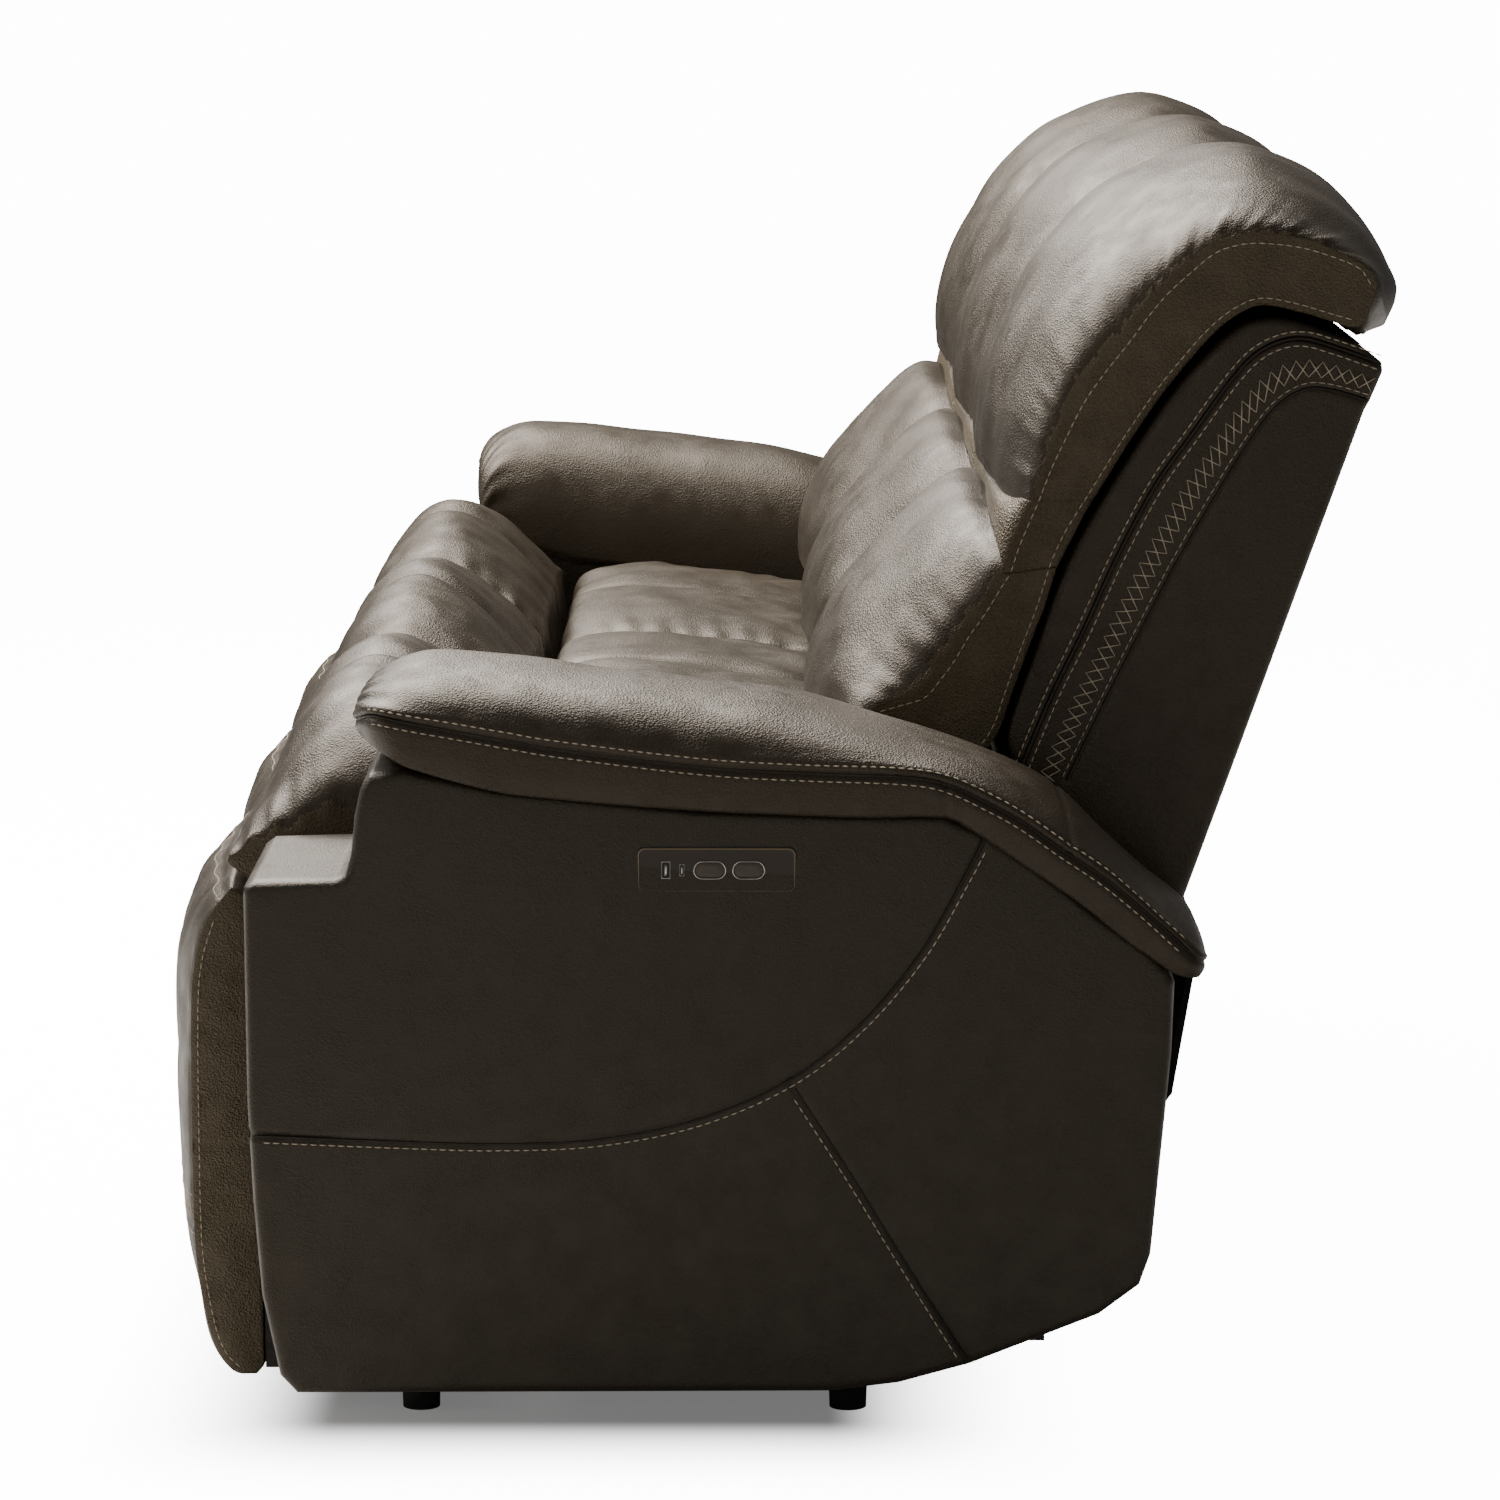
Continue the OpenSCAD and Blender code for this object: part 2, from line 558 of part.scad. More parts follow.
head_front = spline([for (p = [[180, 801], [178, 845], [190, 896], [217, 957], [252, 1006],
    [295, 1044], [350, 1069], [394, 1078], [428, 1073], [478, 1049], [516, 1011], [538, 965],
    [537, 946], [526, 924], [512, 917]]) back_p(p)], 3);
head_rear = [for (p = [[493, 936], [462, 946], [435, 955], [407, 960], [376, 952], [346, 926],
    [314, 884], [268, 812], [250, 794], [215, 794]]) back_p(p)];
module head_cushion() {
    color("#a49b90") across(-half_soft, half_soft, concat(head_front, head_rear));
}
// Headrest hinge: arms on the back frame's side carry the head plate.
module headrest_bracket() {
    color("#5c5c5c") both() {
        difference() {
            union() {
                link(150, 154, valley, neck, 6);
                link(150, 154, neck, back_p([308, 856]), 6);
            }
            rod(149, 155, valley, small_pin_r + pin_gap);
        }
    }
}

// ---- assembly: each node is drawn by name ----
for (s = sides) {
    at_side(s) arm_frame();
    at_side(s) arm_outer_panel();
    at_side(s) arm_inner_panel();
    at_side(s) arm_pad();
    at_side(s) rocker(0);
    at_side(s) rocker(1);
    at_seat(s) seat_frame();
    at_seat(s) drive_motor();
    at_seat(s) drive_block();
    at_seat(s) link_a();
    at_seat(s) link_b();
    at_seat(s) footrest_board();
    at_seat(s) footrest_pad();
    at_seat(s) chaise_flap();
    at_seat(s) back_frame();
    at_seat(s) headrest_bracket();
}
for (s = ["left", "right", "centre"]) {
    at_seat(s) seat_springs(s);
    at_seat(s) seat_cushion();
    at_seat(s) seat_roll();
    at_seat(s) back_shell();
    at_seat(s) lumbar_cushion();
    at_seat(s) head_cushion();
}
control_plates();
usb_ports();
base_frame();
feet();
rear_skirt();
power_inlet();
seat_frame_centre();
front_panel_centre();
back_frame(false);  // back_frame_centre
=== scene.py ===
import bpy
import bmesh
import json
import math
import numpy as np
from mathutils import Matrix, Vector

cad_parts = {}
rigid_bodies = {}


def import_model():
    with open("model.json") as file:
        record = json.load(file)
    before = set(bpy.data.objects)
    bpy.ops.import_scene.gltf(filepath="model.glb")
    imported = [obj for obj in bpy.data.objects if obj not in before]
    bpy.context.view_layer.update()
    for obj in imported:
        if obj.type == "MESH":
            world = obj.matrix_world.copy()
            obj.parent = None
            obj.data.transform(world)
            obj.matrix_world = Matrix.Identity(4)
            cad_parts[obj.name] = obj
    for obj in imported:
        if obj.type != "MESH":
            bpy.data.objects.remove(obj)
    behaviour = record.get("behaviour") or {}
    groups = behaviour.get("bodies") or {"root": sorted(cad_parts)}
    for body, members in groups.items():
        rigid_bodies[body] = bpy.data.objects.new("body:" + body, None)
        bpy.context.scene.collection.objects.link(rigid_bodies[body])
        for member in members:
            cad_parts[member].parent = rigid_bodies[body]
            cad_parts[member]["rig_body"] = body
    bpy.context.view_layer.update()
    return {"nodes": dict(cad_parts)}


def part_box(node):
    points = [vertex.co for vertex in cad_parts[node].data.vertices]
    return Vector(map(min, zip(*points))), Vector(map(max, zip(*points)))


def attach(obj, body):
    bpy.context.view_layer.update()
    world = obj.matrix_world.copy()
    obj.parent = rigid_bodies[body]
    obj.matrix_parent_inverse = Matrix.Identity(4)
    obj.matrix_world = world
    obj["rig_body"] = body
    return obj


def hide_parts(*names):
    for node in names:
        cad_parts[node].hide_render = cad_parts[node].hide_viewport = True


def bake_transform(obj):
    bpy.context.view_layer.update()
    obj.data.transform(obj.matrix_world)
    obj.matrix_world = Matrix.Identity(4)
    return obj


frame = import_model()

# ---- Camera, floor and light ----
# The sofa stands on a white floor under one large soft overhead light, seen from its left
# side with a long lens from a little above.
CAMERA_PLACE = (5.570, -0.008, 1.313)
CAMERA_DOWN = 8.88       # degrees below level
CAMERA_TURN = 0.205      # degrees off the sofa's side
camera_data = bpy.data.cameras.new("camera")
camera_data.lens = 134.4
camera_data.sensor_width = 36
camera_data.clip_end = 60
camera = bpy.data.objects.new("camera", camera_data)
bpy.context.collection.objects.link(camera)
camera.location = CAMERA_PLACE
camera.rotation_euler = (math.radians(90 - CAMERA_DOWN), 0, math.radians(90 + CAMERA_TURN))
bpy.context.scene.camera = camera


def linear(hex_colour):
    """sRGB hex to linear RGBA: the sRGB curve undone for each channel."""
    c = np.array([int(hex_colour[i:i + 2], 16) / 255 for i in (1, 3, 5)])
    c = np.where(c <= 0.04045, c / 12.92, ((c + 0.055) / 1.055) ** 2.4)
    return (*c.tolist(), 1.0)


def new_material(name):
    """An empty node material with its output: (tree, output node, material)."""
    material = bpy.data.materials.new(name)
    material.use_nodes = True
    tree = material.node_tree
    tree.nodes.clear()
    return tree, tree.nodes.new("ShaderNodeOutputMaterial"), material


def add(tree, kind, links=None, **settings):
    """Adds a node. settings are its properties or input values, links its inputs' sources."""
    node = tree.nodes.new("ShaderNode" + kind)
    for key, value in settings.items():
        if hasattr(node, key) and key not in node.inputs:
            setattr(node, key, value)
        else:
            node.inputs[key.replace("_", " ")].default_value = value
    for key, source in (links or {}).items():
        tree.links.new(source, node.inputs[key])
    return node


def object_noise(tree, scale, detail=2.0):
    """Noise over the piece's own coordinates, scale cells to the metre."""
    place = add(tree, "TexCoord")
    return add(tree, "TexNoise", {"Vector": place.outputs["Object"]}, Scale=scale, Detail=detail)


def studio_light(name, place, aim, size, power, colour):
    """A rectangular area light at place, turned to face aim."""
    data = bpy.data.lights.new(name, "AREA")
    data.shape = "RECTANGLE"
    data.size, data.size_y = size
    data.energy = power
    data.color = linear(colour)[:3]
    lamp = bpy.data.objects.new(name, data)
    bpy.context.collection.objects.link(lamp)
    lamp.location = place
    away = np.array(place, float) - np.array(aim, float)
    yaw = math.atan2(away[1], away[0])
    tilt = math.atan2(math.hypot(away[0], away[1]), away[2])
    lamp.rotation_euler = (0, tilt, yaw)


studio_light("overhead", (-1.3, -1.1, 3.3), (0, 0, 0.6), (3.6, 3.2), 430, "#fff8ef")
studio_light("side_fill", (5.6, -1.2, 2.2), (0.8, 0, 0.5), (2.6, 2.2), 24, "#fff6ea")
studio_light("front_fill", (0.6, -4.6, 1.9), (0, 0, 0.6), (2.6, 1.8), 26, "#fff8ef")

# The floor glows evenly for camera rays only. Its contact shadow is painted: a soft rectangular mask
# under the sofa dims the glow to SHADOW_GLOW.
FLOOR_REACH = 14.0
FLOOR_GLOW = 14.0
SHADOW_GLOW = 0.012      # share of the glow that is left under the sofa
SHADOW_EDGE = 0.12
SHADOW_X, SHADOW_Y = (-1.13, 1.02), (-0.50, 0.16)
tree, output, floor_white = new_material("glowing_floor_with_painted_shadow")
place = add(tree, "TexCoord")
spot = add(tree, "SeparateXYZ", {"Vector": place.outputs["Object"]})
inside = []
for axis, (low, high) in (("X", SHADOW_X), ("Y", SHADOW_Y)):
    for edge, soft in ((low, SHADOW_EDGE), (high, -SHADOW_EDGE)):
        inside.append(add(tree, "MapRange", {"Value": spot.outputs[axis]}, From_Min=edge - soft,
                          From_Max=edge + soft, interpolation_type="SMOOTHSTEP"))
painted_shadow_mask = inside[0]
for part in inside[1:]:
    painted_shadow_mask = add(tree, "Math", {0: painted_shadow_mask.outputs[0], 1: part.outputs[0]},
                     operation="MULTIPLY")
shade = add(tree, "MapRange", {"Value": painted_shadow_mask.outputs[0]}, To_Min=1.0, To_Max=SHADOW_GLOW)
seen = add(tree, "LightPath")
lit = add(tree, "Math", {0: shade.outputs[0], 1: seen.outputs["Is Camera Ray"]},
          operation="MULTIPLY")
glow = add(tree, "Math", {0: lit.outputs[0]}, operation="MULTIPLY")
glow.inputs[1].default_value = FLOOR_GLOW
paint = add(tree, "BsdfPrincipled", {"Emission Strength": glow.outputs[0]},
            Base_Color=linear("#d8d8d8"), Roughness=0.9, Emission_Color=(1, 1, 1, 1))
tree.links.new(paint.outputs[0], output.inputs[0])
floor_mesh = bpy.data.meshes.new("floor")
floor_mesh.from_pydata([(sx * FLOOR_REACH, sy * FLOOR_REACH, 0) for sx, sy in
                        ((-1, -1), (1, -1), (1, 1), (-1, 1))], [], [(0, 1, 2, 3)])
floor_mesh.materials.append(floor_white)
floor = bpy.data.objects.new("floor", floor_mesh)
bpy.context.collection.objects.link(floor)

world = bpy.data.worlds.new("studio")
world.use_nodes = True
bpy.context.scene.world = world
tree = world.node_tree
tree.nodes.clear()
seen = add(tree, "LightPath")
ambient = add(tree, "Background", Color=(1, 1, 1, 1), Strength=0.14)
backdrop = add(tree, "Background", Color=(1, 1, 1, 1), Strength=14.5)
mix = tree.nodes.new("ShaderNodeMixShader")
tree.links.new(seen.outputs["Is Camera Ray"], mix.inputs[0])
tree.links.new(ambient.outputs[0], mix.inputs[1])
tree.links.new(backdrop.outputs[0], mix.inputs[2])
tree.links.new(mix.outputs[0], tree.nodes.new("ShaderNodeOutputWorld").inputs[0])

# ---- Steel base, seat frames, back frames and linkages ----
# Folded and tubular steel, powder coated black after welding. The coat is satin, with the fine
# orange peel that powder leaves, so edges show soft broken highlights.


def powder_coat(name, colour, roughness):
    """Powder-coated steel: a dark satin coat with 0.8 mm orange peel."""
    tree, output, material = new_material(name)
    peel = object_noise(tree, 1250.0)
    bump = add(tree, "Bump", {"Height": peel.outputs[0]}, Strength=0.25, Distance=0.0002)
    coat = add(tree, "BsdfPrincipled", {"Normal": bump.outputs[0]}, Base_Color=linear(colour),
               Roughness=roughness)
    tree.links.new(coat.outputs[0], output.inputs[0])
    return material


def finish_node(node, material):
    """Gives a carried-over CAD node its material."""
    mesh = frame["nodes"][node].data
    mesh.materials.clear()
    mesh.materials.append(material)


steel_coat = powder_coat("powder_coated_steel", "#26262a", 0.42)
for side in ("left", "right"):
    for node in ("seat_frame_", "link_a_", "link_b_", "headrest_bracket_"):
        finish_node(node + side, steel_coat)
for node in ("base_frame", "back_frame_left", "back_frame_centre", "back_frame_right"):
    finish_node(node, steel_coat)

# ---- Zigzag springs and charging port shells ----
# Drawn spring wire and thin stamped shells, left bright. Drawing leaves fine lines along the
# wire, which blur the highlight a little.
tree, output, bright_steel = new_material("drawn_spring_steel")
lines = object_noise(tree, 900.0, 3.0)
wear = add(tree, "MapRange", {"Value": lines.outputs[0]}, To_Min=0.24, To_Max=0.42)
metal = add(tree, "BsdfPrincipled", {"Roughness": wear.outputs[0]},
            Base_Color=linear("#b9b7b2"), Metallic=1.0)
tree.links.new(metal.outputs[0], output.inputs[0])
for node in ("seat_springs_left", "seat_springs_centre", "seat_springs_right", "usb_ports"):
    finish_node(node, bright_steel)

# ---- Wooden frames ----
# Birch plywood, sawn and left raw inside the arms and under the middle seat. The grain is long
# along the board and changes tone every few millimetres.


def plywood(name, pale, dark):
    """Raw plywood: stretched noise bands 6 mm wide between two tones of the wood."""
    tree, output, material = new_material(name)
    place = add(tree, "TexCoord")
    along = add(tree, "Mapping", {"Vector": place.outputs["Object"]}, Scale=(160, 12, 160))
    grain = add(tree, "TexNoise", {"Vector": along.outputs[0]}, Scale=1.0, Detail=5.0)
    tone = add(tree, "ValToRGB", {"Fac": grain.outputs[0]})
    tone.color_ramp.elements[0].position, tone.color_ramp.elements[1].position = 0.35, 0.65
    tone.color_ramp.elements[0].color = linear(dark)
    tone.color_ramp.elements[1].color = linear(pale)
    bump = add(tree, "Bump", {"Height": grain.outputs[0]}, Strength=0.3, Distance=0.0004)
    wood = add(tree, "BsdfPrincipled", {"Base Color": tone.outputs[0],
                                        "Normal": bump.outputs[0]}, Roughness=0.7)
    tree.links.new(wood.outputs[0], output.inputs[0])
    return material


birch = plywood("raw_birch_plywood", "#c9a878", "#a88557")
black_board = plywood("black_faced_plywood", "#2b2723", "#1d1a17")
for node in ("arm_frame_left", "arm_frame_right", "seat_frame_centre"):
    finish_node(node, birch)
for node in ("footrest_board_left", "footrest_board_right"):
    finish_node(node, black_board)

# ---- Feet, motors and other moulded plastic ----
# Injection-moulded nylon and ABS with a spark-eroded matt texture, about 0.5 mm between peaks.


def moulded(name, colour, roughness, grit=2000.0):
    """Moulded plastic: a plain colour with a fine spark-eroded bump, grit peaks per metre."""
    tree, output, material = new_material(name)
    peaks = object_noise(tree, grit)
    tint = object_noise(tree, 30.0)
    worn = add(tree, "MapRange", {"Value": tint.outputs[0]}, To_Min=roughness - 0.05,
               To_Max=roughness + 0.06)
    bump = add(tree, "Bump", {"Height": peaks.outputs[0]}, Strength=0.2, Distance=0.0001)
    plastic = add(tree, "BsdfPrincipled", {"Roughness": worn.outputs[0],
                                           "Normal": bump.outputs[0]},
                  Base_Color=linear(colour))
    tree.links.new(plastic.outputs[0], output.inputs[0])
    return material


black_nylon = moulded("spark_eroded_black_nylon", "#171717", 0.6)
pale_nylon = moulded("natural_nylon", "#cfcabd", 0.45)
for node in ("feet", "power_inlet", "drive_motor_left", "drive_motor_right"):
    finish_node(node, black_nylon)
for node in ("drive_block_left", "drive_block_right"):
    finish_node(node, pale_nylon)

# ---- Dust cover ----
# Black spun-bonded polypropylene cloth, stapled across the back below the shells. It is dull,
# with the small diamond press marks that hold its fibres together, 2.5 mm apart.
tree, output, dust_cloth = new_material("spunbonded_polypropylene")
place = add(tree, "TexCoord")
marks = add(tree, "TexVoronoi", {"Vector": place.outputs["Object"]}, Scale=400.0)
bump = add(tree, "Bump", {"Height": marks.outputs["Distance"]}, Strength=0.5, Distance=0.0003)
cloth = add(tree, "BsdfPrincipled", {"Normal": bump.outputs[0]}, Base_Color=linear("#101010"),
            Roughness=0.95)
tree.links.new(cloth.outputs[0], output.inputs[0])
finish_node("rear_skirt", dust_cloth)

# ---- Arm covers ----
# Each arm is a plywood box under 12 mm of foam and a leather cover sewn from three panels. A
# curved seam and a short slanted one join them, both topstitched, and the edges are rounded.


def leather_hide(name, colour, grip, relief=0.0014):
    """Pigmented leather: pebbles 1.8 mm across, shallower in patches, a slow cloudy tone, and painted
    shade that darkens the colour towards the borders between pebbles.
    """
    tree, output, material = new_material(name)
    place = add(tree, "TexCoord")
    warp = object_noise(tree, 260.0)
    bent = add(tree, "VectorMath", operation="MULTIPLY_ADD")
    tree.links.new(warp.outputs["Color"], bent.inputs[0])
    bent.inputs[1].default_value = (0.0016, 0.0016, 0.0016)
    tree.links.new(place.outputs["Object"], bent.inputs[2])
    pebble = add(tree, "TexVoronoi", {"Vector": bent.outputs[0]}, Scale=560.0,
                 feature="SMOOTH_F1", Smoothness=0.35)
    cloud = object_noise(tree, 9.0, 4.0)
    patch = object_noise(tree, 38.0, 3.0)
    depth = add(tree, "MapRange", {"Value": patch.outputs[0]}, From_Min=0.3, From_Max=0.7,
                To_Min=0.35, To_Max=1.0)
    grain = add(tree, "Math", {0: pebble.outputs["Distance"], 1: depth.outputs[0]},
                operation="MULTIPLY")
    bump = add(tree, "Bump", {"Height": grain.outputs[0]}, Strength=grip, Distance=relief)
    tone = add(tree, "ValToRGB", {"Fac": cloud.outputs[0]})
    rgb = np.array(linear(colour)[:3])
    tone.color_ramp.elements[0].position, tone.color_ramp.elements[1].position = 0.3, 0.7
    tone.color_ramp.elements[0].color = (*(rgb * 0.86), 1)
    tone.color_ramp.elements[1].color = (*(rgb * 1.12), 1)
    # Painted shade: the colour darkens by up to 18% towards the borders between pebbles.
    valley_shade = add(tree, "MapRange", {"Value": pebble.outputs["Distance"]}, From_Min=0.15,
                 From_Max=0.7, To_Min=1.0, To_Max=0.82)
    shade = add(tree, "VectorMath", {0: tone.outputs[0]}, operation="SCALE")
    tree.links.new(valley_shade.outputs[0], shade.inputs["Scale"])
    gloss = add(tree, "MapRange", {"Value": patch.outputs[0]}, From_Min=0.3, From_Max=0.7,
                To_Min=0.38, To_Max=0.50)
    hide = add(tree, "BsdfPrincipled", {"Base Color": shade.outputs[0],
                                        "Roughness": gloss.outputs[0],
                                        "Normal": bump.outputs[0]},
               Specular_IOR_Level=0.58, Specular_Tint=linear("#f6ebdd"))
    tree.links.new(hide.outputs[0], output.inputs[0])
    return material


leather = leather_hide("pigmented_full_grain_leather", "#2e271c", 0.50)
# A lighter copy of the leather for the gussets and valley strips: painted light, standing for the
# sheen they catch from the front.
lit_gusset_leather = leather_hide("pebbled_gusset_leather_painted_light", "#524835", 0.6, 0.0030)
# A darker copy of the leather for the arms' side covers: painted shade, as these sides face away from
# the overhead light.
shaded_side_leather = leather_hide("side_leather_painted_shade", "#242016", 0.45)
# Near-black leather for thin tubes laid along seams: painted shade of the seam grooves.
seam_shadow_leather = leather_hide("painted_seam_shadow_leather", "#0d0b08", 0.2)

tree, output, thread_material = new_material("bonded_polyester_thread")
twist = object_noise(tree, 1800.0)
bump = add(tree, "Bump", {"Height": twist.outputs[0]}, Strength=0.5, Distance=0.0003)
fibre = add(tree, "BsdfPrincipled", {"Normal": bump.outputs[0]}, Base_Color=linear("#b9ad97"),
            Roughness=0.6)
tree.links.new(fibre.outputs[0], output.inputs[0])


def run_along(points):
    """Length along a line of straight pieces, from its start to each of its points."""
    return np.concatenate([[0], np.cumsum(np.linalg.norm(np.diff(points, axis=0), axis=1))])


def sample(at, run, values):
    """Rows of values read at lengths at, between the rows' own lengths run."""
    return np.stack([np.interp(at, run, values[:, k]) for k in range(values.shape[1])], -1)


def curve(points, count):
    """Catmull-Rom curve through points, then count points equally spaced along its length."""
    p = np.array(points, float)
    q = np.vstack([2 * p[0] - p[1], p, 2 * p[-1] - p[-2]])
    t = np.linspace(0, 1, 24, endpoint=False)[:, None, None]
    a, b, c, d = q[:-3], q[1:-2], q[2:-1], q[3:]
    fine = 0.5 * (2 * b + (c - a) * t + (2 * a - 5 * b + 4 * c - d) * t ** 2
                  + (3 * b - a - 3 * c + d) * t ** 3)
    fine = np.vstack([fine.transpose(1, 0, 2).reshape(-1, p.shape[1]), p[-1:]])
    run = run_along(fine)
    return sample(np.linspace(0, run[-1], count), run, fine)


def corner_line(points, count):
    """count points equally spaced along straight pieces between points."""
    p = np.array(points, float)
    run = run_along(p)
    return sample(np.linspace(0, run[-1], count), run, p)


def away_from(points, line):
    """Distance from each point to the nearest place on a line of straight pieces."""
    shape = points.shape[:-1]
    p = points.reshape(-1, 1, 2)
    a, b = line[:-1][None], line[1:][None]
    ab = b - a
    t = np.clip(((p - a) * ab).sum(-1) / np.maximum((ab ** 2).sum(-1), 1e-12), 0, 1)
    return np.linalg.norm(p - a - ab * t[..., None], axis=-1).min(1).reshape(shape)


def surface_normals(p):
    """Unit normals of a grid of points: the cross product of its two directions."""
    n = np.cross(np.gradient(p, axis=0), np.gradient(p, axis=1))
    return n / np.maximum(np.linalg.norm(n, axis=-1, keepdims=True), 1e-12)


def sheet_faces(rows, columns, first=0):
    """Quads of a grid of points numbered row by row from first."""
    i = np.arange(rows - 1)[:, None] * columns + np.arange(columns - 1)[None] + first
    return np.stack([i, i + 1, i + columns + 1, i + columns], -1).reshape(-1, 4)


def at_x(x, flat):
    """Points of a side view placed at one x: a third coordinate put before the two."""
    return np.concatenate([np.full((len(flat), 1), x), flat], -1)


def ride_along(name, mesh, material, body):
    """Shades the mesh smooth, gives it its material and hangs it on a body of the frame."""
    mesh.polygons.foreach_set("use_smooth", np.ones(len(mesh.polygons), bool))
    mesh.materials.append(material)
    piece = bpy.data.objects.new(name, mesh)
    bpy.context.collection.objects.link(piece)
    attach(piece, body)
    return piece


def make_piece(name, grids, material, body, merge=2e-5):
    """Joins grids of points in millimetres into one mesh, merged where they meet."""
    verts, faces, first = [], [], 0
    for g in grids:
        verts.append(g.reshape(-1, 3))
        faces.append(sheet_faces(g.shape[0], g.shape[1], first))
        first += g.shape[0] * g.shape[1]
    mesh = bpy.data.meshes.new(name)
    mesh.from_pydata(np.concatenate(verts) / 1000, [], np.concatenate(faces).tolist())
    bm = bmesh.new()
    bm.from_mesh(mesh)
    bmesh.ops.remove_doubles(bm, verts=bm.verts, dist=merge)
    bmesh.ops.dissolve_degenerate(bm, edges=bm.edges, dist=1e-6)
    bmesh.ops.recalc_face_normals(bm, faces=bm.faces)
    bm.to_mesh(mesh)
    bm.free()
    return ride_along(name, mesh, material, body)


def mirrored(grid, sign):
    """The grid on the sofa's other side when sign is -1."""
    return grid * np.array([sign, 1, 1])


def coons(bottom, top, left, right):
    """Coons patch: the two ruled sheets between facing edges, less the sheet of corners."""
    u = np.linspace(0, 1, len(bottom))[None, :, None]
    v = np.linspace(0, 1, len(left))[:, None, None]
    ruled = (1 - v) * bottom[None] + v * top[None] + (1 - u) * left[:, None] + u * right[:, None]
    return ruled - ((1 - v) * (1 - u) * bottom[0] + (1 - v) * u * bottom[-1]
                    + v * (1 - u) * top[0] + v * u * top[-1])


BAND_STEPS = 14          # points across the band of a boxed form
CROWN_FADE = 60          # how far in from the outline a face's crown builds up


def boxed(edges, x0, x1, radius, grooves, crown):
    """Two faces from one side outline, a rounded edge round each, and the band between them.

    A face's depth rises over radius from the outline as a quarter circle, then by crown over
    about 60 mm, and falls by a bell curve along each groove (line, depth, width).
    """
    flat = coons(*edges)
    rim = np.vstack([edges[0], edges[3][1:], edges[1][::-1][1:], edges[2][::-1][1:]])
    d = away_from(flat, rim)
    lift = np.sqrt(np.maximum(radius ** 2 - np.maximum(radius - d, 0) ** 2, 0)) - radius
    lift += crown * (1 - np.exp(-d / CROWN_FADE))
    for line, depth, width in grooves:
        lift -= depth * np.exp(-(away_from(flat, line) / width) ** 2)
    far = np.concatenate([(x1 + lift)[..., None], flat], -1)
    near = np.concatenate([(x0 - lift)[..., None], flat], -1)
    steps = np.linspace(x0 + radius, x1 - radius, BAND_STEPS)[:, None, None]
    band = np.concatenate([np.broadcast_to(steps, (BAND_STEPS, len(rim), 1)),
                           np.broadcast_to(rim[None], (BAND_STEPS, len(rim), 2))], -1)
    return far, near, band


THREAD_SIDES = 5


def thread_bars(start, end, normal, radius=0.7, lift=0.25):
    """Short rounded bars from start to end: three rings of points, the middle one raised."""
    axis = end - start
    length = np.linalg.norm(axis, axis=-1, keepdims=True)
    axis = axis / np.maximum(length, 1e-9)
    side = np.cross(axis, normal)
    side /= np.maximum(np.linalg.norm(side, axis=-1, keepdims=True), 1e-9)
    angle = np.linspace(0, 2 * np.pi, THREAD_SIDES, endpoint=False)
    rings = []
    for t, r, h in ((0.0, 0.55, -0.5), (0.5, 1.0, lift), (1.0, 0.55, -0.5)):
        centre = start + (end - start) * t + normal * radius * h
        rings.append(centre[:, None] + radius * r * (np.cos(angle)[None, :, None] * side[:, None]
                                                     + np.sin(angle)[None, :, None] * normal[:, None]))
    return np.stack(rings, 1)


def thread_piece(name, bars, body):
    """One mesh of many thread bars, each an open-ended tube closed by its two end rings."""
    bars = np.concatenate(bars)
    count = len(bars)
    base = np.arange(count)[:, None] * 3 * THREAD_SIDES
    k = np.arange(THREAD_SIDES)
    following = (k + 1) % THREAD_SIDES
    quads = []
    for ring in (base, base + THREAD_SIDES):
        quads.append(np.stack([ring + k, ring + following, ring + THREAD_SIDES + following,
                               ring + THREAD_SIDES + k], -1).reshape(-1, 4))
    mesh = bpy.data.meshes.new(name)
    ends = np.concatenate([base + k[::-1], base + 2 * THREAD_SIDES + k])
    faces = np.concatenate(quads).tolist() + ends.tolist()
    mesh.from_pydata(bars.reshape(-1, 3) / 1000, [], faces)
    bm = bmesh.new()
    bm.from_mesh(mesh)
    bmesh.ops.recalc_face_normals(bm, faces=bm.faces)
    bm.to_mesh(mesh)
    bm.free()
    return ride_along(name, mesh, thread_material, body)


def topstitch(path, normal, pitch=7.5, stitch=5.6, radius=0.65):
    """A row of stitches along a path: one bar every pitch, each as long as stitch."""
    run = run_along(path)
    count = max(int(run[-1] / pitch), 1)
    at = (np.arange(count) + 0.5) * run[-1] / count
    n = sample(at, run, normal)
    n /= np.maximum(np.linalg.norm(n, axis=-1, keepdims=True), 1e-9)
    start, end = sample(at - stitch / 2, run, path), sample(at + stitch / 2, run, path)
    return thread_bars(start, end, n, radius)


def seam_shadow_line(name, paths, body, radius=1.1):
    """Painted seam shade: thin dark six-sided tubes along paths given as (points, normals), standing
    for the shade in a seam.
    """
    angle = np.linspace(0, 2 * np.pi, 7)
    grids = []
    for path, normal in paths:
        axis = np.gradient(path, axis=0)
        side = np.cross(axis, normal)
        side /= np.maximum(np.linalg.norm(side, axis=-1, keepdims=True), 1e-9)
        grids.append(path[:, None] + radius * (np.cos(angle)[None, :, None] * side[:, None]
                                               + np.sin(angle)[None, :, None] * normal[:, None]))
    return make_piece(name, grids, seam_shadow_leather, body)


def cross_stitch(lower, upper, normal, pitch=11.0, radius=0.6):
    """A row of X stitches between two lines: two crossed bars in every pitch."""
    run = run_along((lower + upper) / 2)
    at = np.linspace(0, run[-1], int(run[-1] / pitch) + 1)
    low, high, n = [sample(at, run, line) for line in (lower, upper, normal)]
    return np.concatenate([thread_bars(low[:-1], high[1:], n[:-1], radius, 0.3),
                           thread_bars(high[:-1], low[1:], n[:-1], radius, 0.6)])


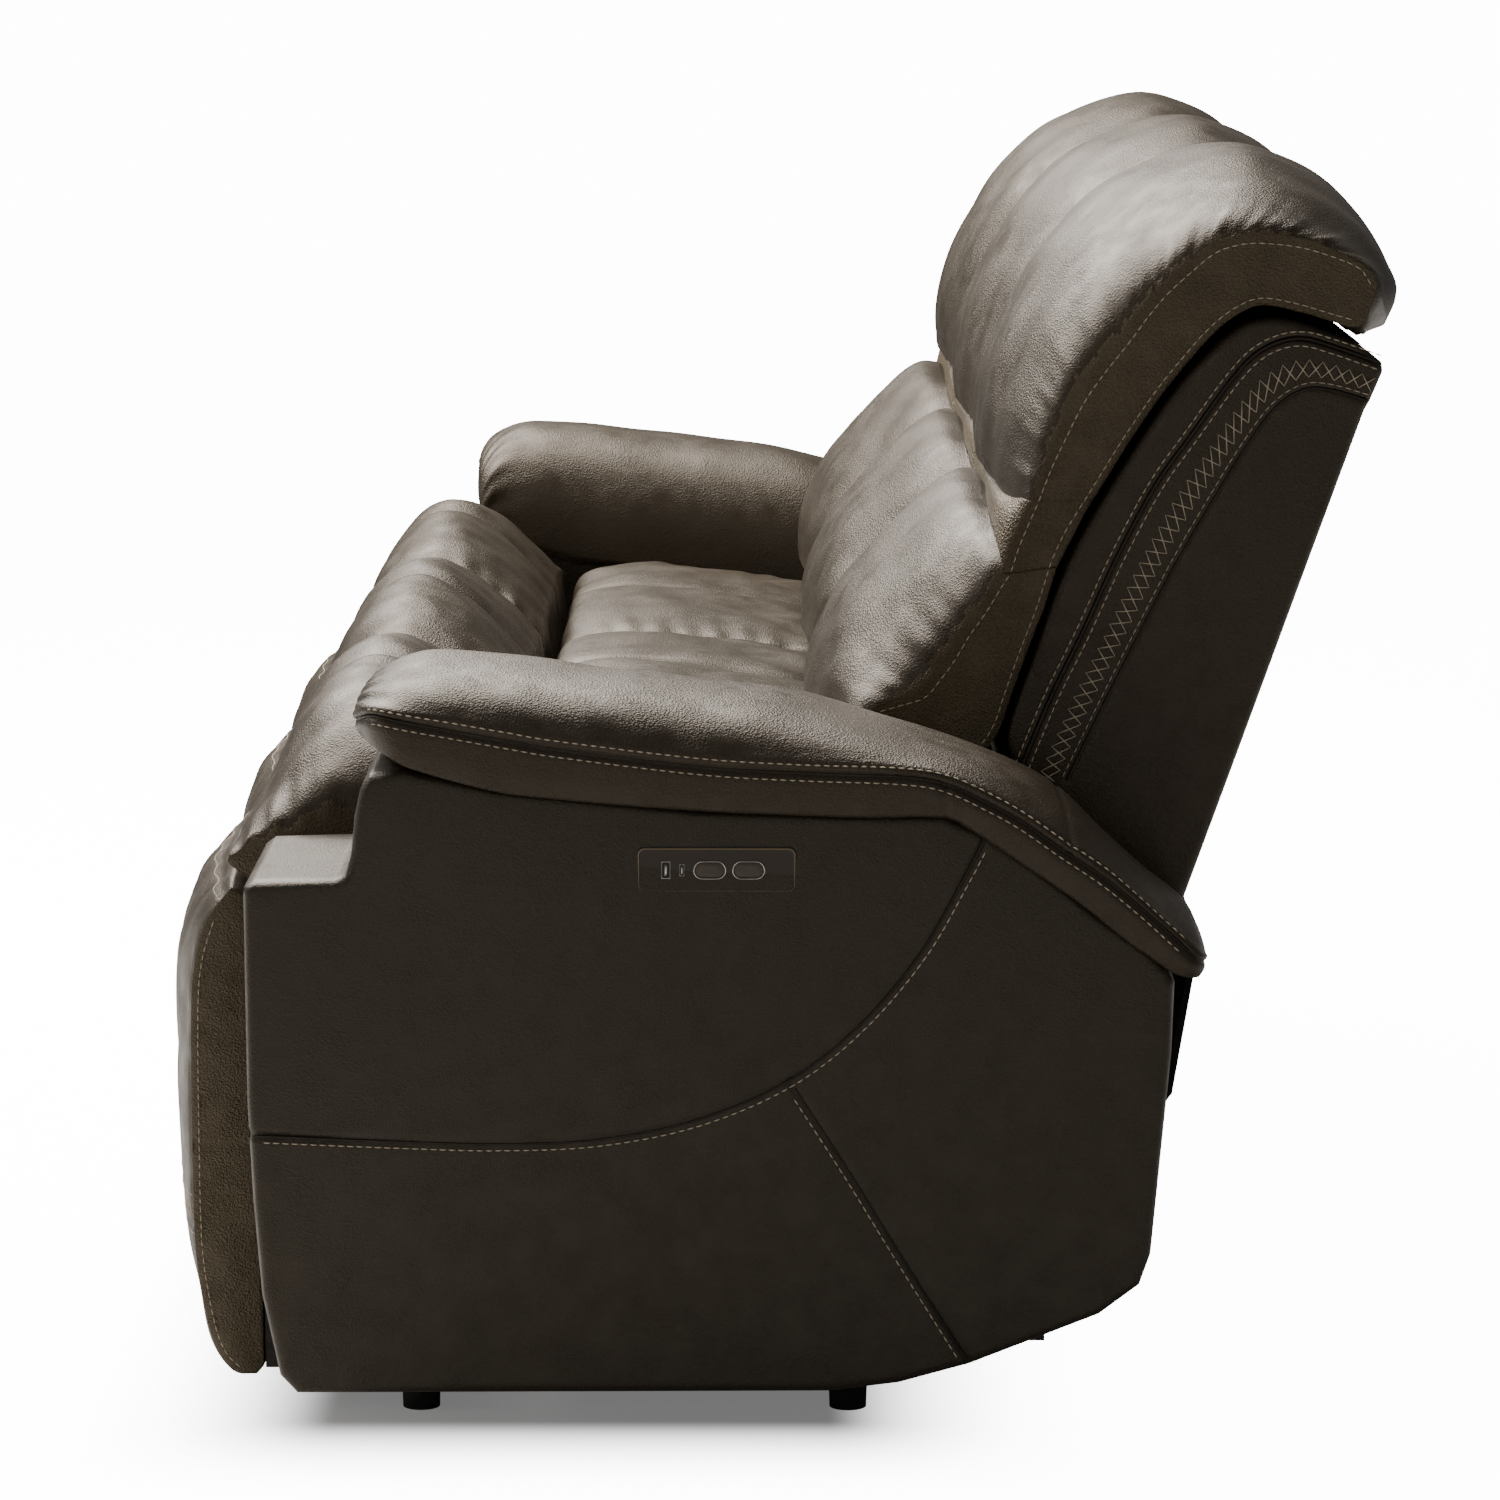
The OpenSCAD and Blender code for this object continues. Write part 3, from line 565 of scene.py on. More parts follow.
arm_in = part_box("arm_inner_panel_left")[0][0] * 1000
arm_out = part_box("arm_outer_panel_left")[1][0] * 1000
ARM_ROUND = 8
arm_edges = [corner_line(p, n) for p, n in (
    ([(-396, 80), (41, 82), (98, 89), (156, 105), (262, 147), (295, 172)], 260),
    ([(-435, 501), (-427, 507), (-360, 509), (-351, 514), (-347, 530), (-344, 560), (-339, 584),
      (-331, 596), (-304, 600), (-228, 584), (-66, 567), (56, 563), (133, 563), (169, 547),
      (218, 514), (259, 481), (300, 452), (315, 436)], 260),
    ([(-396, 80), (-410, 95), (-424, 163), (-430, 239), (-434, 323), (-435, 501)], 170),
    ([(295, 172), (304, 198), (319, 365), (321, 425), (315, 436)], 170))]
curved_seam = curve([(-434, 298), (-310, 293), (-228, 291), (-146, 295), (-65, 312), (9, 345),
                     (66, 391), (114, 449), (147, 507), (168, 548)], 220)
slant_seam = curve([(9, 343), (58, 266), (99, 198), (157, 104)], 90)


def beside(line, distance):
    """The line moved sideways by distance, along its own normal in the side view."""
    t = np.gradient(line, axis=0)
    t /= np.linalg.norm(t, axis=1, keepdims=True)
    return line + distance * np.stack([-t[:, 1], t[:, 0]], -1)


arm_grooves = [(curved_seam, 2.2, 2.6), (slant_seam, 2.2, 2.6)]
far, near, band = boxed(arm_edges, arm_in + 6, arm_out, ARM_ROUND, arm_grooves, 3)
for sign, side in ((1, "left"), (-1, "right")):
    # The side covers use the darker copy of the leather, painted shade.
    cover = make_piece("arm_cover_" + side, [mirrored(g, sign) for g in (far, near, band)],
                       shaded_side_leather, "root", merge=4e-5)
    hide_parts("arm_outer_panel_" + side, "arm_inner_panel_" + side)
    rows, seam_shadows = [], []
    for x, out in ((arm_out + 2.8, 1), (arm_in + 3.2, -1)):
        for seam in (curved_seam, slant_seam):
            path = at_x(x, beside(seam, -5))[4:-4]
            facing = np.zeros_like(path)
            facing[:, 0] = out * sign
            rows.append(topstitch(mirrored(path, sign), facing))
            # A dark tube along each seam: painted shade in the seam's groove.
            seam_shadow = at_x(x - 1.6 * out, seam)[2:-2]
            seam_shadows.append((mirrored(seam_shadow, sign), np.full(seam_shadow.shape, (out * sign, 0, 0), float)))
    stitches = thread_piece("arm_topstitch_" + side, rows, "root")
    seam_shadow_line("arm_seam_shadow_" + side, seam_shadows, "root")

# ---- Arm pads ----
# A foam pad on top of each arm, under a leather cover: a domed top sewn to a lower border with
# a welt that runs round the nose. Both sides of the welt are topstitched.
pad_low, pad_high = [np.array(c) * 1000 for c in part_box("arm_pad_left")]
pad_mid = (pad_low[0] + pad_high[0]) / 2
pad_half = (pad_high[0] - pad_low[0]) / 2 - 3
PAD_ROWS = 260
WELT_COLUMN = 14         # the grid's column on the welt, above the outer border
DOME_COLUMNS = 120
CROSS_SEAM_Y, BORDER_SEAM_Y = 231, 134
ease = np.linspace(0, 1, PAD_ROWS) ** 1.25
crest_line = curve([(-349, 634), (-345, 646), (-332, 660), (-307, 673), (-275, 678), (-208, 674),
                    (-108, 661), (16, 644), (99, 621), (168, 599), (229, 567), (270, 528),
                    (304, 495), (338, 466), (350, 444)], 600)
welt_line = curve([(-349, 628), (-341, 637), (-326, 642), (-287, 636), (-253, 630), (-219, 624),
                   (-178, 617), (-64, 603), (17, 598), (97, 595), (134, 589), (171, 572),
                   (196, 558), (229, 535), (263, 512), (296, 485), (335, 449), (348, 438)], 600)
hem_line = curve([(-347, 622), (-338, 620), (-321, 612), (-301, 602), (-264, 591), (-231, 583),
                  (-197, 578), (-64, 567), (57, 562), (130, 562), (155, 552), (180, 535),
                  (213, 512), (247, 488), (280, 461), (305, 443), (322, 432), (344, 428)], 600)


def pad_rows(line):
    """The line's points at the pad's own spacing, which is closest at the nose."""
    return sample(ease, np.linspace(0, 1, len(line)), line)[:, None]


inner_line = curve([(-349, 624), (-346, 600), (-340, 580), (-332, 563), (-318, 551), (-292, 544),
                    (-251, 532), (-230, 526), (-182, 521), (-89, 507), (26, 490), (99, 482),
                    (168, 472), (229, 460), (290, 448), (348, 436)], 600)
crest, welt, hem = pad_rows(crest_line), pad_rows(welt_line), pad_rows(hem_line)
inner = pad_rows(inner_line)
s = np.linspace(0, 1, WELT_COLUMN + 1)[None, :, None]                  # up the outer border
dome = np.linspace(0, np.pi, DOME_COLUMNS + 1)[1:][None, :, None]      # over and down inside
rise = np.where(dome < np.pi / 2, np.abs(np.sin(dome)) ** 0.92, np.abs(np.sin(dome)) ** 0.80)
border = hem + (welt - hem) * s
top = np.where(dome < np.pi / 2, welt, inner) * (1 - rise) + crest * rise
below = np.linspace(0, 1, 12)[1:-1][None, :, None]
under = inner + (hem - inner) * below
side_view = np.concatenate([border, top, under], 1)
across = np.concatenate([1 + 0.022 * np.sin(np.pi * s), np.sign(np.cos(dome)) *
                         np.abs(np.cos(dome)) ** 0.80, -1 + 2 * below], 1)[..., 0]
t = ease[:, None]
nose = (1 - np.clip(1 - t / 0.075, 0, 1) ** 2.4) ** (1 / 2.4)
tail = (1 - np.clip(1 - (1 - t) / 0.02, 0, 1) ** 2) ** 0.5
pad_x = pad_mid + pad_half * across * np.maximum(nose * (0.75 + 0.25 * tail), 0.0)
pad_grid = np.concatenate([pad_x[..., None], side_view], -1)
normal = surface_normals(pad_grid)
normal = normal * np.sign(normal[PAD_ROWS // 2, 50, 2])
arc = np.concatenate([np.zeros((PAD_ROWS, 1)), np.cumsum(np.linalg.norm(
    np.diff(pad_grid, axis=1), axis=-1), axis=1)], 1)
off = arc - arc[:, WELT_COLUMN:WELT_COLUMN + 1]
dent = 1.2 * np.exp(-((np.abs(off) - 8) / 6) ** 2) - 2.0 * np.exp(-(off / 2.2) ** 2)
column = np.arange(pad_grid.shape[1])
upper = (column > WELT_COLUMN) & (column < WELT_COLUMN + DOME_COLUMNS)
y = side_view[..., 0]
slanted = y - CROSS_SEAM_Y - 0.35 * (pad_x - pad_mid) / 10
dent -= np.where(upper[None], 1.8, 0) * np.exp(-(slanted / 2.2) ** 2)
dent -= np.where(upper[None], 0, 1.6) * np.exp(-((y - BORDER_SEAM_Y) / 2.2) ** 2)
rng = np.random.default_rng(7)
wave = sum(a * np.sin(y / w + p + 0.02 * (pad_x - pad_mid)) for a, w, p in
           zip(rng.uniform(0.2, 0.5, 5), rng.uniform(16, 60, 5), rng.uniform(0, 6, 5)))
dent += wave * np.where(upper[None], 1, 0.4)
pucker = np.exp(-((y + 335) / 26) ** 2) * np.sin(arc / 5.5) * 0.9
dent += np.where(upper[None], pucker, 0) * np.clip(ease * 40, 0, 1)[:, None]
pad_shape = pad_grid + normal * dent[..., None]
pad_shape = np.concatenate([pad_shape, pad_shape[:, :1]], 1)


def along_column(p, n, arc, column, offset):
    """Points and normals at a fixed surface distance from one column of a grid."""
    off = arc - arc[:, column:column + 1]
    k = np.clip((off < offset).sum(1), 1, arc.shape[1] - 1)
    rows = np.arange(len(p))
    a, b = off[rows, k - 1], off[rows, k]
    w = ((offset - a) / np.maximum(b - a, 1e-9))[:, None]
    return p[rows, k - 1] * (1 - w) + p[rows, k] * w, n[rows, k]


def cap_ends(grid, steps=4):
    """Adds rows that shrink the first and the last ring onto their centres."""
    rows = []
    for ring in (grid[0], grid[-1]):
        centre = ring[:-1].mean(0)
        rows.append([centre + (ring - centre) * k for k in np.linspace(0, 1, steps + 1)[:-1]])
    return np.concatenate([rows[0], grid, rows[1][::-1]])


for sign, side in ((1, "left"), (-1, "right")):
    pad = make_piece("arm_pad_cover_" + side, [mirrored(cap_ends(pad_shape), sign)], leather,
                     "root")
    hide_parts("arm_pad_" + side)
    rows = []
    for offset in (-6.5, 6.5):
        path, facing = along_column(pad_shape, normal, arc, WELT_COLUMN, offset)
        keep = slice(16, -8)
        rows.append(topstitch(mirrored(path[keep], sign), mirrored(facing[keep], sign)))
    stitches = thread_piece("arm_pad_topstitch_" + side, rows, "root")
    # A dark tube along the welt: painted shade under the welt.
    path, facing = along_column(pad_shape, normal, arc, WELT_COLUMN, 0.0)
    path, facing = path[10:-6], facing[10:-6]
    welt_shadow = seam_shadow_line("arm_pad_welt_shadow_" + side, [(mirrored(path, sign), mirrored(facing, sign))],
                          "root")

# ---- Control plates and rocker buttons ----
# A moulded bezel with rounded corners and a polished chamfer is let into the outer side of each
# arm. Two domed oval rockers sit in it, each inside a bright trim ring.
bezel = moulded("satin_brown_abs", "#2f271c", 0.33, 2600.0)
# Pale tan for the bezel's rim: a painted highlight, standing for the light line along its polished
# chamfer.
rim_highlight_abs = moulded("polished_abs_painted_highlight", "#b09c80", 0.14, 2600.0)
button = moulded("rubberised_brown_abs", "#4a4339", 0.5, 2600.0)
tree, output, trim_metal = new_material("satin_chrome_plate")
haze = object_noise(tree, 700.0)
soft = add(tree, "MapRange", {"Value": haze.outputs[0]}, To_Min=0.14, To_Max=0.26)
plating = add(tree, "BsdfPrincipled", {"Roughness": soft.outputs[0]},
              Base_Color=linear("#c9c7c2"), Metallic=1.0)
tree.links.new(plating.outputs[0], output.inputs[0])


def rounded_ring(length, height, corner, count=96):
    """A rounded rectangle's outline in (y, z), centred, starting at the rear corner."""
    quarter = count // 4
    a = (np.arange(quarter) + 0.5) / quarter * np.pi / 2
    rings = []
    for k, (sy, sz) in enumerate(((1, 1), (-1, 1), (-1, -1), (1, -1))):
        angle = a + k * np.pi / 2
        rings.append(np.stack([sy * (length / 2 - corner) + corner * np.cos(angle),
                               sz * (height / 2 - corner) + corner * np.sin(angle)], -1))
    ring = np.concatenate(rings)
    return np.vstack([ring, ring[:1]])


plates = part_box("control_plates")
plate_low, plate_high = np.array(plates[0]) * 1000, np.array(plates[1]) * 1000
plate_mid = (plate_low + plate_high) / 2
plate_size = plate_high - plate_low
CORNER = 6
holes = []
for node in ("rocker_recline_left", "rocker_headrest_left"):
    low, high = [np.array(c) * 1000 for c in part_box(node)]
    holes.append(((low + high) / 2, high - low))


def stack_rings(rings):
    """A grid from (x, ring, centre) rows: each outline placed at its own depth."""
    return np.stack([at_x(x, ring + centre) for x, ring, centre in rings])


def plate_ring(grow, corner):
    """The plate's outline, larger or smaller by grow."""
    return rounded_ring(plate_size[1] + grow, plate_size[2] + grow, corner)


face = plate_high[0]
centre = plate_mid[1:]
for sign, side in ((1, "left"), (-1, "right")):
    outer = [(face - 3.4, plate_ring(0, CORNER), centre),
             (face - 0.9, plate_ring(0, CORNER), centre),
             (face + 0.1, plate_ring(-2.0, CORNER - 1), centre)]
    rim = make_piece("control_bezel_rim_highlight_" + side, [mirrored(stack_rings(outer), sign)], rim_highlight_abs,
                     "root")
    # A black ring sunk into the leather round the bezel: painted shade of the gap between bezel and
    # cover.
    gap_shadow = [(face - 3.0, plate_ring(2.6, CORNER + 1), centre),
           (face - 0.6, plate_ring(2.4, CORNER + 1), centre),
           (face - 0.6, plate_ring(0, CORNER), centre)]
    make_piece("control_gap_shadow_" + side, [mirrored(stack_rings(gap_shadow), sign)], black_nylon,
                       "root")
    inner = plate_ring(-2.0, CORNER - 1)
    plate = make_piece("control_bezel_" + side, [mirrored(stack_rings(
        [(face + 0.1, inner, centre), (face - 0.3, inner * 0.985, centre)]
        + [(face - 0.3, inner * k, centre) for k in np.linspace(0.97, 0.0, 12)]), sign)], bezel,
        "root")
    if side == "left":
        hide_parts("control_plates")
    # Each port opening is a flat black sheet on the bezel face: painted shade of its recess.
    port_shadows, tongues = [], []
    for y, long, tall, tongue in ((-92.0, 6.4, 13.0, 1.6), (-79.0, 3.2, 9.2, 0.9)):
        spot = np.array([y, plate_mid[2]])
        port_outline = rounded_ring(long, tall, 1.2)
        port_shadows.append(mirrored(stack_rings([(face + 0.45, port_outline * k, spot)
                                           for k in (1.0, 0.5, 0.0)]), sign))
        bar = rounded_ring(tongue, tall * 0.68, tongue / 2 - 0.05)
        tongues.append(mirrored(stack_rings([(face + 0.45, bar, spot), (face + 0.8, bar, spot),
                                             (face + 0.8, bar * 0, spot)]), sign))
    make_piece("port_shadow_" + side, port_shadows, black_nylon, "root")
    make_piece("port_tongue_" + side, tongues, trim_metal, "root")
    for (spot, size), name in zip(holes, ("recline", "headrest")):
        hole = rounded_ring(size[1] + 0.8, size[2] + 0.8, (size[2] + 0.8) / 2 - 0.01)
        ring = [(face - 0.4, hole, spot[1:]), (face + 0.7, hole * 0.985, spot[1:]),
                (face + 0.7, hole * 0.93, spot[1:]), (face - 0.6, hole * 0.91, spot[1:])]
        trim = make_piece(f"rocker_trim_{name}_{side}", [mirrored(stack_rings(ring), sign)],
                          trim_metal, "root")
        cap = rounded_ring(size[1] - 2.2, size[2] - 2.2, (size[2] - 2.2) / 2 - 0.01)
        rows = [(face - 3, cap, spot[1:]), (face - 0.4, cap, spot[1:])]
        rows += [(face + 0.9 - 1.3 * k ** 4 - 0.9 * (1 - k) ** 2 * 0.6, cap * k, spot[1:])
                 for k in np.linspace(0.97, 0.0, 14)]
        rocker = make_piece(f"rocker_cap_{name}_{side}", [mirrored(stack_rings(rows), sign)],
                            button, f"rocker_{name}_{side}")
        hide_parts(f"rocker_{name}_{side}")

# ---- Front panels and footrest pads ----
# Foam over a board, in one leather cover: a deep padded face sewn to a side gusset. A topstitched
# seam crosses it near the top, and a band of cross-stitching near the floor.


def noise_waves(a, b, seed, low, high, count=9):
    """Sum of count plane waves over (a, b) in mm, wavelengths low to high, scaled to about 1."""
    rng = np.random.default_rng(seed)
    total = np.zeros(np.broadcast(a, b).shape)
    for _ in range(count):
        angle, length = rng.uniform(0, np.pi), rng.uniform(low, high)
        total += np.sin(2 * np.pi * (a * np.cos(angle) + b * np.sin(angle)) / length
                        + rng.uniform(0, 6.28))
    return total / np.sqrt(count)


EDGE_POINTS = 14         # points along the top and the bottom edge of a gusset


def cushion_shape(front, rear, side_front, side_rear, half, power=(2.6, 0.5), dip=0.0,
                  columns=85, rows=110, pull=4.0, seed=1, ripple=1.0, pucker=1.0, dents=(),
                  outer_front=None, waves=(60, 190)):
    """A stuffed form swept across x: its side view runs from the gusset's outline at both ends
    to a fuller one in the middle, by the rule (1 - |v|^a)^b. Puckers fade away from the seams.

    front and rear are the middle outline's chains from bottom to top, side_front and side_rear
    the gusset's, outer_front the one at the +x end where it differs. dents is a list of functions
    of the grid that give a depth in mm.
    """
    def loop(a, b):
        a, b = curve(a, rows), curve(b, rows)
        over = np.linspace(a[-1], b[-1], EDGE_POINTS)[1:-1]
        below = np.linspace(b[0], a[0], EDGE_POINTS)[1:]
        return np.vstack([a, over, b[::-1], below])

    middle, seam = loop(front, rear), loop(side_front, side_rear)
    outer = loop(outer_front or side_front, side_rear)
    t = np.linspace(-1, 1, columns)
    v = np.sin(np.pi / 2 * t)
    full = np.maximum(1 - np.abs(v) ** power[0], 0) ** power[1]
    full = full * (1 - dip * np.exp(-(v / 0.10) ** 2))
    turn = np.clip((v + 0.6) / 1.2, 0, 1)
    ends = seam[:, None] + (outer - seam)[:, None] * (turn ** 2 * (3 - 2 * turn))[None, :, None]
    view = ends + (middle[:, None] - ends) * full[None, :, None]
    inward = (1 - np.abs(v)) * half
    x = half * v - pull * np.sign(v) * np.exp(-(inward / 7) ** 2)
    grid = np.concatenate([np.broadcast_to(x[None, :, None], (*view.shape[:2], 1)), view], -1)
    wrapped = np.concatenate([grid[-2:-1], grid, grid[1:2]])
    normal = surface_normals(wrapped)[1:-1]
    centre = grid.mean((0, 1))
    if (normal * (grid - centre)).sum(-1).mean() < 0:
        normal = -normal
    arc = run_along(middle)[:, None]
    fade = np.exp(-inward[None] / 22)
    move = ripple * 1.5 * noise_waves(x[None], arc, seed, *waves) * (1 - fade)
    close = np.exp(-inward[None] / 26) * (1 - np.exp(-inward[None] / 5))
    move += pucker * 2.2 * close * noise_waves(0.15 * x[None], arc, seed + 1, 20, 60, 6)
    loop_end = np.clip(np.minimum(arc, arc[-1] - arc) / 30, 0, 1)
    move *= loop_end
    for dent in dents:
        move -= dent(grid)
    return grid + normal * move[..., None], normal, (seam, outer), rows


def gusset(seams, rows, half, pull=4.0, bulge=3.0, sign=1, seed=5, grooves=(), ripple=0.5):
    """The flat side of a cushion, inside its seam outline, bulging by a few mm."""
    seam = seams[1 if sign > 0 else 0]
    top = rows + EDGE_POINTS - 2
    front, rear = seam[:rows], seam[top:top + rows][::-1]
    over, below = seam[rows - 1:top + 1], seam[top + rows - 1:][::-1]
    patch = coons(below, over, front, rear)
    d = away_from(patch, seam)
    lift = bulge * (1 - np.exp(-d / 12)) + ripple * noise_waves(
        patch[..., 0], patch[..., 1], seed, 25, 80) * (1 - np.exp(-d / 10))
    for line, depth, width in grooves:
        lift -= depth * np.exp(-(away_from(patch, line) / width) ** 2)
    x = sign * (half - pull + lift)
    return np.concatenate([x[..., None], patch], -1)


def cushion_piece(name, shape, half, place, body, nodes, grooves=(), bulge=3.0,
                  pull=4.0, ripple=0.5):
    """Mesh of a stuffed form and its two gussets, standing for the CAD nodes at place."""
    grid, normal, seams, rows = shape
    grids = [grid] + [gusset(seams, rows, half, bulge=bulge, sign=s, grooves=grooves, pull=pull,
                             ripple=ripple) for s in (-1, 1)]
    offset, turn = np.array([place, 0, 0]), -1 if place < 0 else 1
    piece = make_piece(name, [mirrored(g, turn) + offset for g in grids], leather, body)
    # The gussets get the lighter copy of the leather, painted light.
    piece.data.materials.append(lit_gusset_leather)
    centre = np.zeros(len(piece.data.polygons) * 3)
    facing = np.zeros(len(piece.data.polygons) * 3)
    piece.data.polygons.foreach_get("center", centre)
    piece.data.polygons.foreach_get("normal", facing)
    at_side = (np.abs(centre[::3] * 1000 - place) > half - pull - 2.5) \
        & (np.abs(facing[::3]) > 0.9)
    piece.data.polygons.foreach_set("material_index", at_side.astype(np.int32))
    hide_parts(*nodes)
    return piece


def seam_rows(line, half, place, inset=6.0, pull=4.0, bulge=3.0, turn=1):
    """Topstitching on both gussets, inset from a seam line given in the side view."""
    rows = []
    for sign in (-1, 1):
        flat = beside(curve(line, 120), inset * turn)
        lift = bulge * (1 - math.exp(-abs(inset) / 12)) + 0.3
        path = at_x(place + sign * (half - pull + lift), flat)
        facing = np.zeros_like(path)
        facing[:, 0] = sign
        rows.append(topstitch(path, facing))
    return rows


def level_line(shape, height, place):
    """The line round the front of a stuffed form at one height, and its normals."""
    grid, normal, _, rows = shape
    z = grid[:rows, :, 2]
    i = np.clip((z < height).sum(0), 1, rows - 1)
    k = np.arange(grid.shape[1])
    w = ((height - z[i - 1, k]) / np.maximum(z[i, k] - z[i - 1, k], 1e-6))[:, None]
    turn = -1 if place < 0 else 1
    path = mirrored(grid[i - 1, k] * (1 - w) + grid[i, k] * w, turn) + np.array([place, 0, 0])
    return path[2:-2], mirrored(normal[i, k], turn)[2:-2]


SEATS = (("left", 580.0, "seat_left"), ("centre", 0.0, "root"), ("right", -580.0, "seat_right"))
SEAT_HALF = 284.0


def front_dents(grid):
    """Grooves of the front panel: one above the cross-stitching and one under the roll."""
    y, z = grid[..., 1], grid[..., 2]
    ahead = y < -470
    return np.where(ahead, 2.6 * np.exp(-((z - 161) / 3.0) ** 2)
                    + 2.0 * np.exp(-((z - 452) / 3.0) ** 2), 0)


panel_shape = cushion_shape(
    front=[(-452, 27), (-480, 28), (-500, 45), (-515, 80), (-530, 150), (-536, 233), (-537, 307),
           (-534, 380), (-526, 412), (-511, 438), (-472, 472)],
    rear=[(-446, 37), (-446, 240), (-446, 454)],
    side_front=[(-452, 30), (-470, 31), (-483, 45), (-492, 67), (-499, 103), (-504, 150),
                (-505, 250), (-504, 358), (-499, 400), (-489, 432), (-468, 458)],
    side_rear=[(-446, 37), (-446, 240), (-446, 446)],
    half=SEAT_HALF, power=(2.2, 0.85), seed=11, pucker=0.15, dents=(front_dents,))
STITCH_LEVELS = (188.0, 154.0, 447.0)
BAND_LEVELS = (167.0, 181.0)
side_level = corner_line([(-505, 232), (-446, 232)], 20)
for side, place, _ in SEATS:
    body = "root" if side == "centre" else "footrest_" + side
    node = "front_panel_centre" if side == "centre" else "footrest_pad_" + side
    cushion_piece("front_panel_" + side, panel_shape, SEAT_HALF, place, body, [node],
                  grooves=[(side_level, 1.6, 2.5)])
    rows = [topstitch(*level_line(panel_shape, height, place)) for height in STITCH_LEVELS]
    low, facing = level_line(panel_shape, BAND_LEVELS[0], place)
    high, _ = level_line(panel_shape, BAND_LEVELS[1], place)
    rows.append(cross_stitch(low, high, facing))
    rows += seam_rows([(-470, 31), (-483, 45), (-492, 67), (-499, 103), (-504, 150), (-505, 250),
                       (-504, 358), (-499, 400), (-489, 432)], SEAT_HALF, place, turn=-1)
    thread_piece("front_panel_stitching_" + side, rows, body)

# ---- Seat pads ----
# The rear part of each seat: a foam pad on the springs, its leather sewn front to back down the
# middle, so that each seat has two soft puffs.


def middle_dent(grid):
    """The sewn line down the middle of a seat."""
    return 4.0 * np.exp(-(grid[..., 0] / 4.0) ** 2) * (grid[..., 2] > 440)


pad_shape_seat = cushion_shape(
    front=[(-229, 414), (-232, 470), (-228, 512), (-214, 531), (-171, 540), (-107, 538),
           (19, 518), (80, 505)],
    rear=[(108, 414), (110, 450), (104, 488)],
    side_front=[(-229, 414), (-231, 460), (-227, 495), (-212, 506), (-171, 509), (-107, 508),
                (19, 500), (80, 490)],
    side_rear=[(108, 414), (110, 450), (104, 478)],
    half=SEAT_HALF, power=(4.0, 0.5), dip=0.10, seed=21, dents=(middle_dent,))
for side, place, seat in SEATS:
    cushion_piece("seat_pad_" + side, pad_shape_seat, SEAT_HALF, place, seat,
                  ["seat_cushion_" + side])

# ---- Seat rolls ----
# The raised front bolster of each seat, which carries the legs when the footrest is up. Its
# cover is tucked in hard behind and at both ends, with one seam over the middle.


def roll_dent(grid):
    """The sewn line over the middle of a roll, deepest at the front of its crest."""
    return 5.0 * np.exp(-(grid[..., 0] / 5.0) ** 2) * (grid[..., 2] > 480)


roll_shape = cushion_shape(
    front=[(-440, 462), (-466, 478), (-470, 484), (-456, 512), (-441, 540), (-428, 572),
           (-410, 598), (-391, 616), (-369, 626), (-347, 625), (-325, 616), (-300, 598),
           (-270, 566), (-246, 536)],
    rear=[(-405, 414), (-320, 413), (-236, 414)],
    side_front=[(-440, 462), (-462, 476), (-465, 484), (-456, 506), (-446, 522), (-432, 540),
                (-412, 556), (-390, 562), (-368, 562), (-345, 559), (-322, 556), (-298, 548),
                (-270, 532), (-248, 512)],
    side_rear=[(-405, 414), (-320, 413), (-236, 414)],
    outer_front=[(-440, 462), (-464, 474), (-471, 482), (-462, 488), (-445, 494), (-425, 499),
                 (-405, 503), (-388, 506), (-368, 508), (-345, 508), (-322, 508), (-298, 508),
                 (-270, 506), (-248, 502)],
    half=SEAT_HALF, power=(2.4, 0.5), dip=0.16, seed=31, pucker=1.2, dents=(roll_dent,),
    ripple=0.9, waves=(40, 130))
for side, place, seat in SEATS:
    cushion_piece("seat_roll_cover_" + side, roll_shape, SEAT_HALF, place, seat,
                  ["seat_roll_" + side])

# ---- Lumbar cushions ----
# The lower half of each back: a fibre-filled pillow whose cover is sewn to a pebbled gusset at
# each side, with the seam topstitched on the gusset.
back_bodies = {"left": "back_left", "centre": "root", "right": "back_right"}
LUMBAR_FRONT = [(60, 556), (72, 590), (83, 616), (107, 623), (121, 628), (134, 644), (144, 658),
                (155, 677), (171, 700), (181, 717), (190, 731)]
LUMBAR_REAR = [(154, 550), (172, 572), (187, 595), (199, 630), (211, 664), (224, 699),
               (236, 738)]
lumbar_shape = cushion_shape(
    front=[(42, 548), (27, 566), (23, 585), (25, 611), (31, 633), (40, 655), (54, 681),
           (73, 705), (91, 725), (132, 764), (158, 780), (180, 779)],
    rear=[(152, 548), (160, 558), (184, 598), (208, 664), (224, 702), (236, 742)],
    side_front=LUMBAR_FRONT, side_rear=LUMBAR_REAR,
    half=SEAT_HALF, power=(2.1, 0.55), seed=41, pucker=0.8, pull=2.0)


def back_cushions(kind, shape, bodies, front, rear):
    """One cushion of a kind for each seat, topstitched on its gussets along front and rear."""
    for side, place, _ in SEATS:
        cushion_piece(f"{kind}_cover_{side}", shape, SEAT_HALF, place, bodies[side],
                      [f"{kind}_cushion_{side}"], bulge=0.0, pull=2.0, ripple=0.2)
        rows = seam_rows(front, SEAT_HALF, place, turn=-1, bulge=0.3, pull=2.0)
        rows += seam_rows(rear, SEAT_HALF, place, turn=1, bulge=0.3, pull=2.0)
        thread_piece(f"{kind}_topstitch_{side}", rows, bodies[side])


back_cushions("lumbar", lumbar_shape, back_bodies, LUMBAR_FRONT[2:], LUMBAR_REAR[1:])

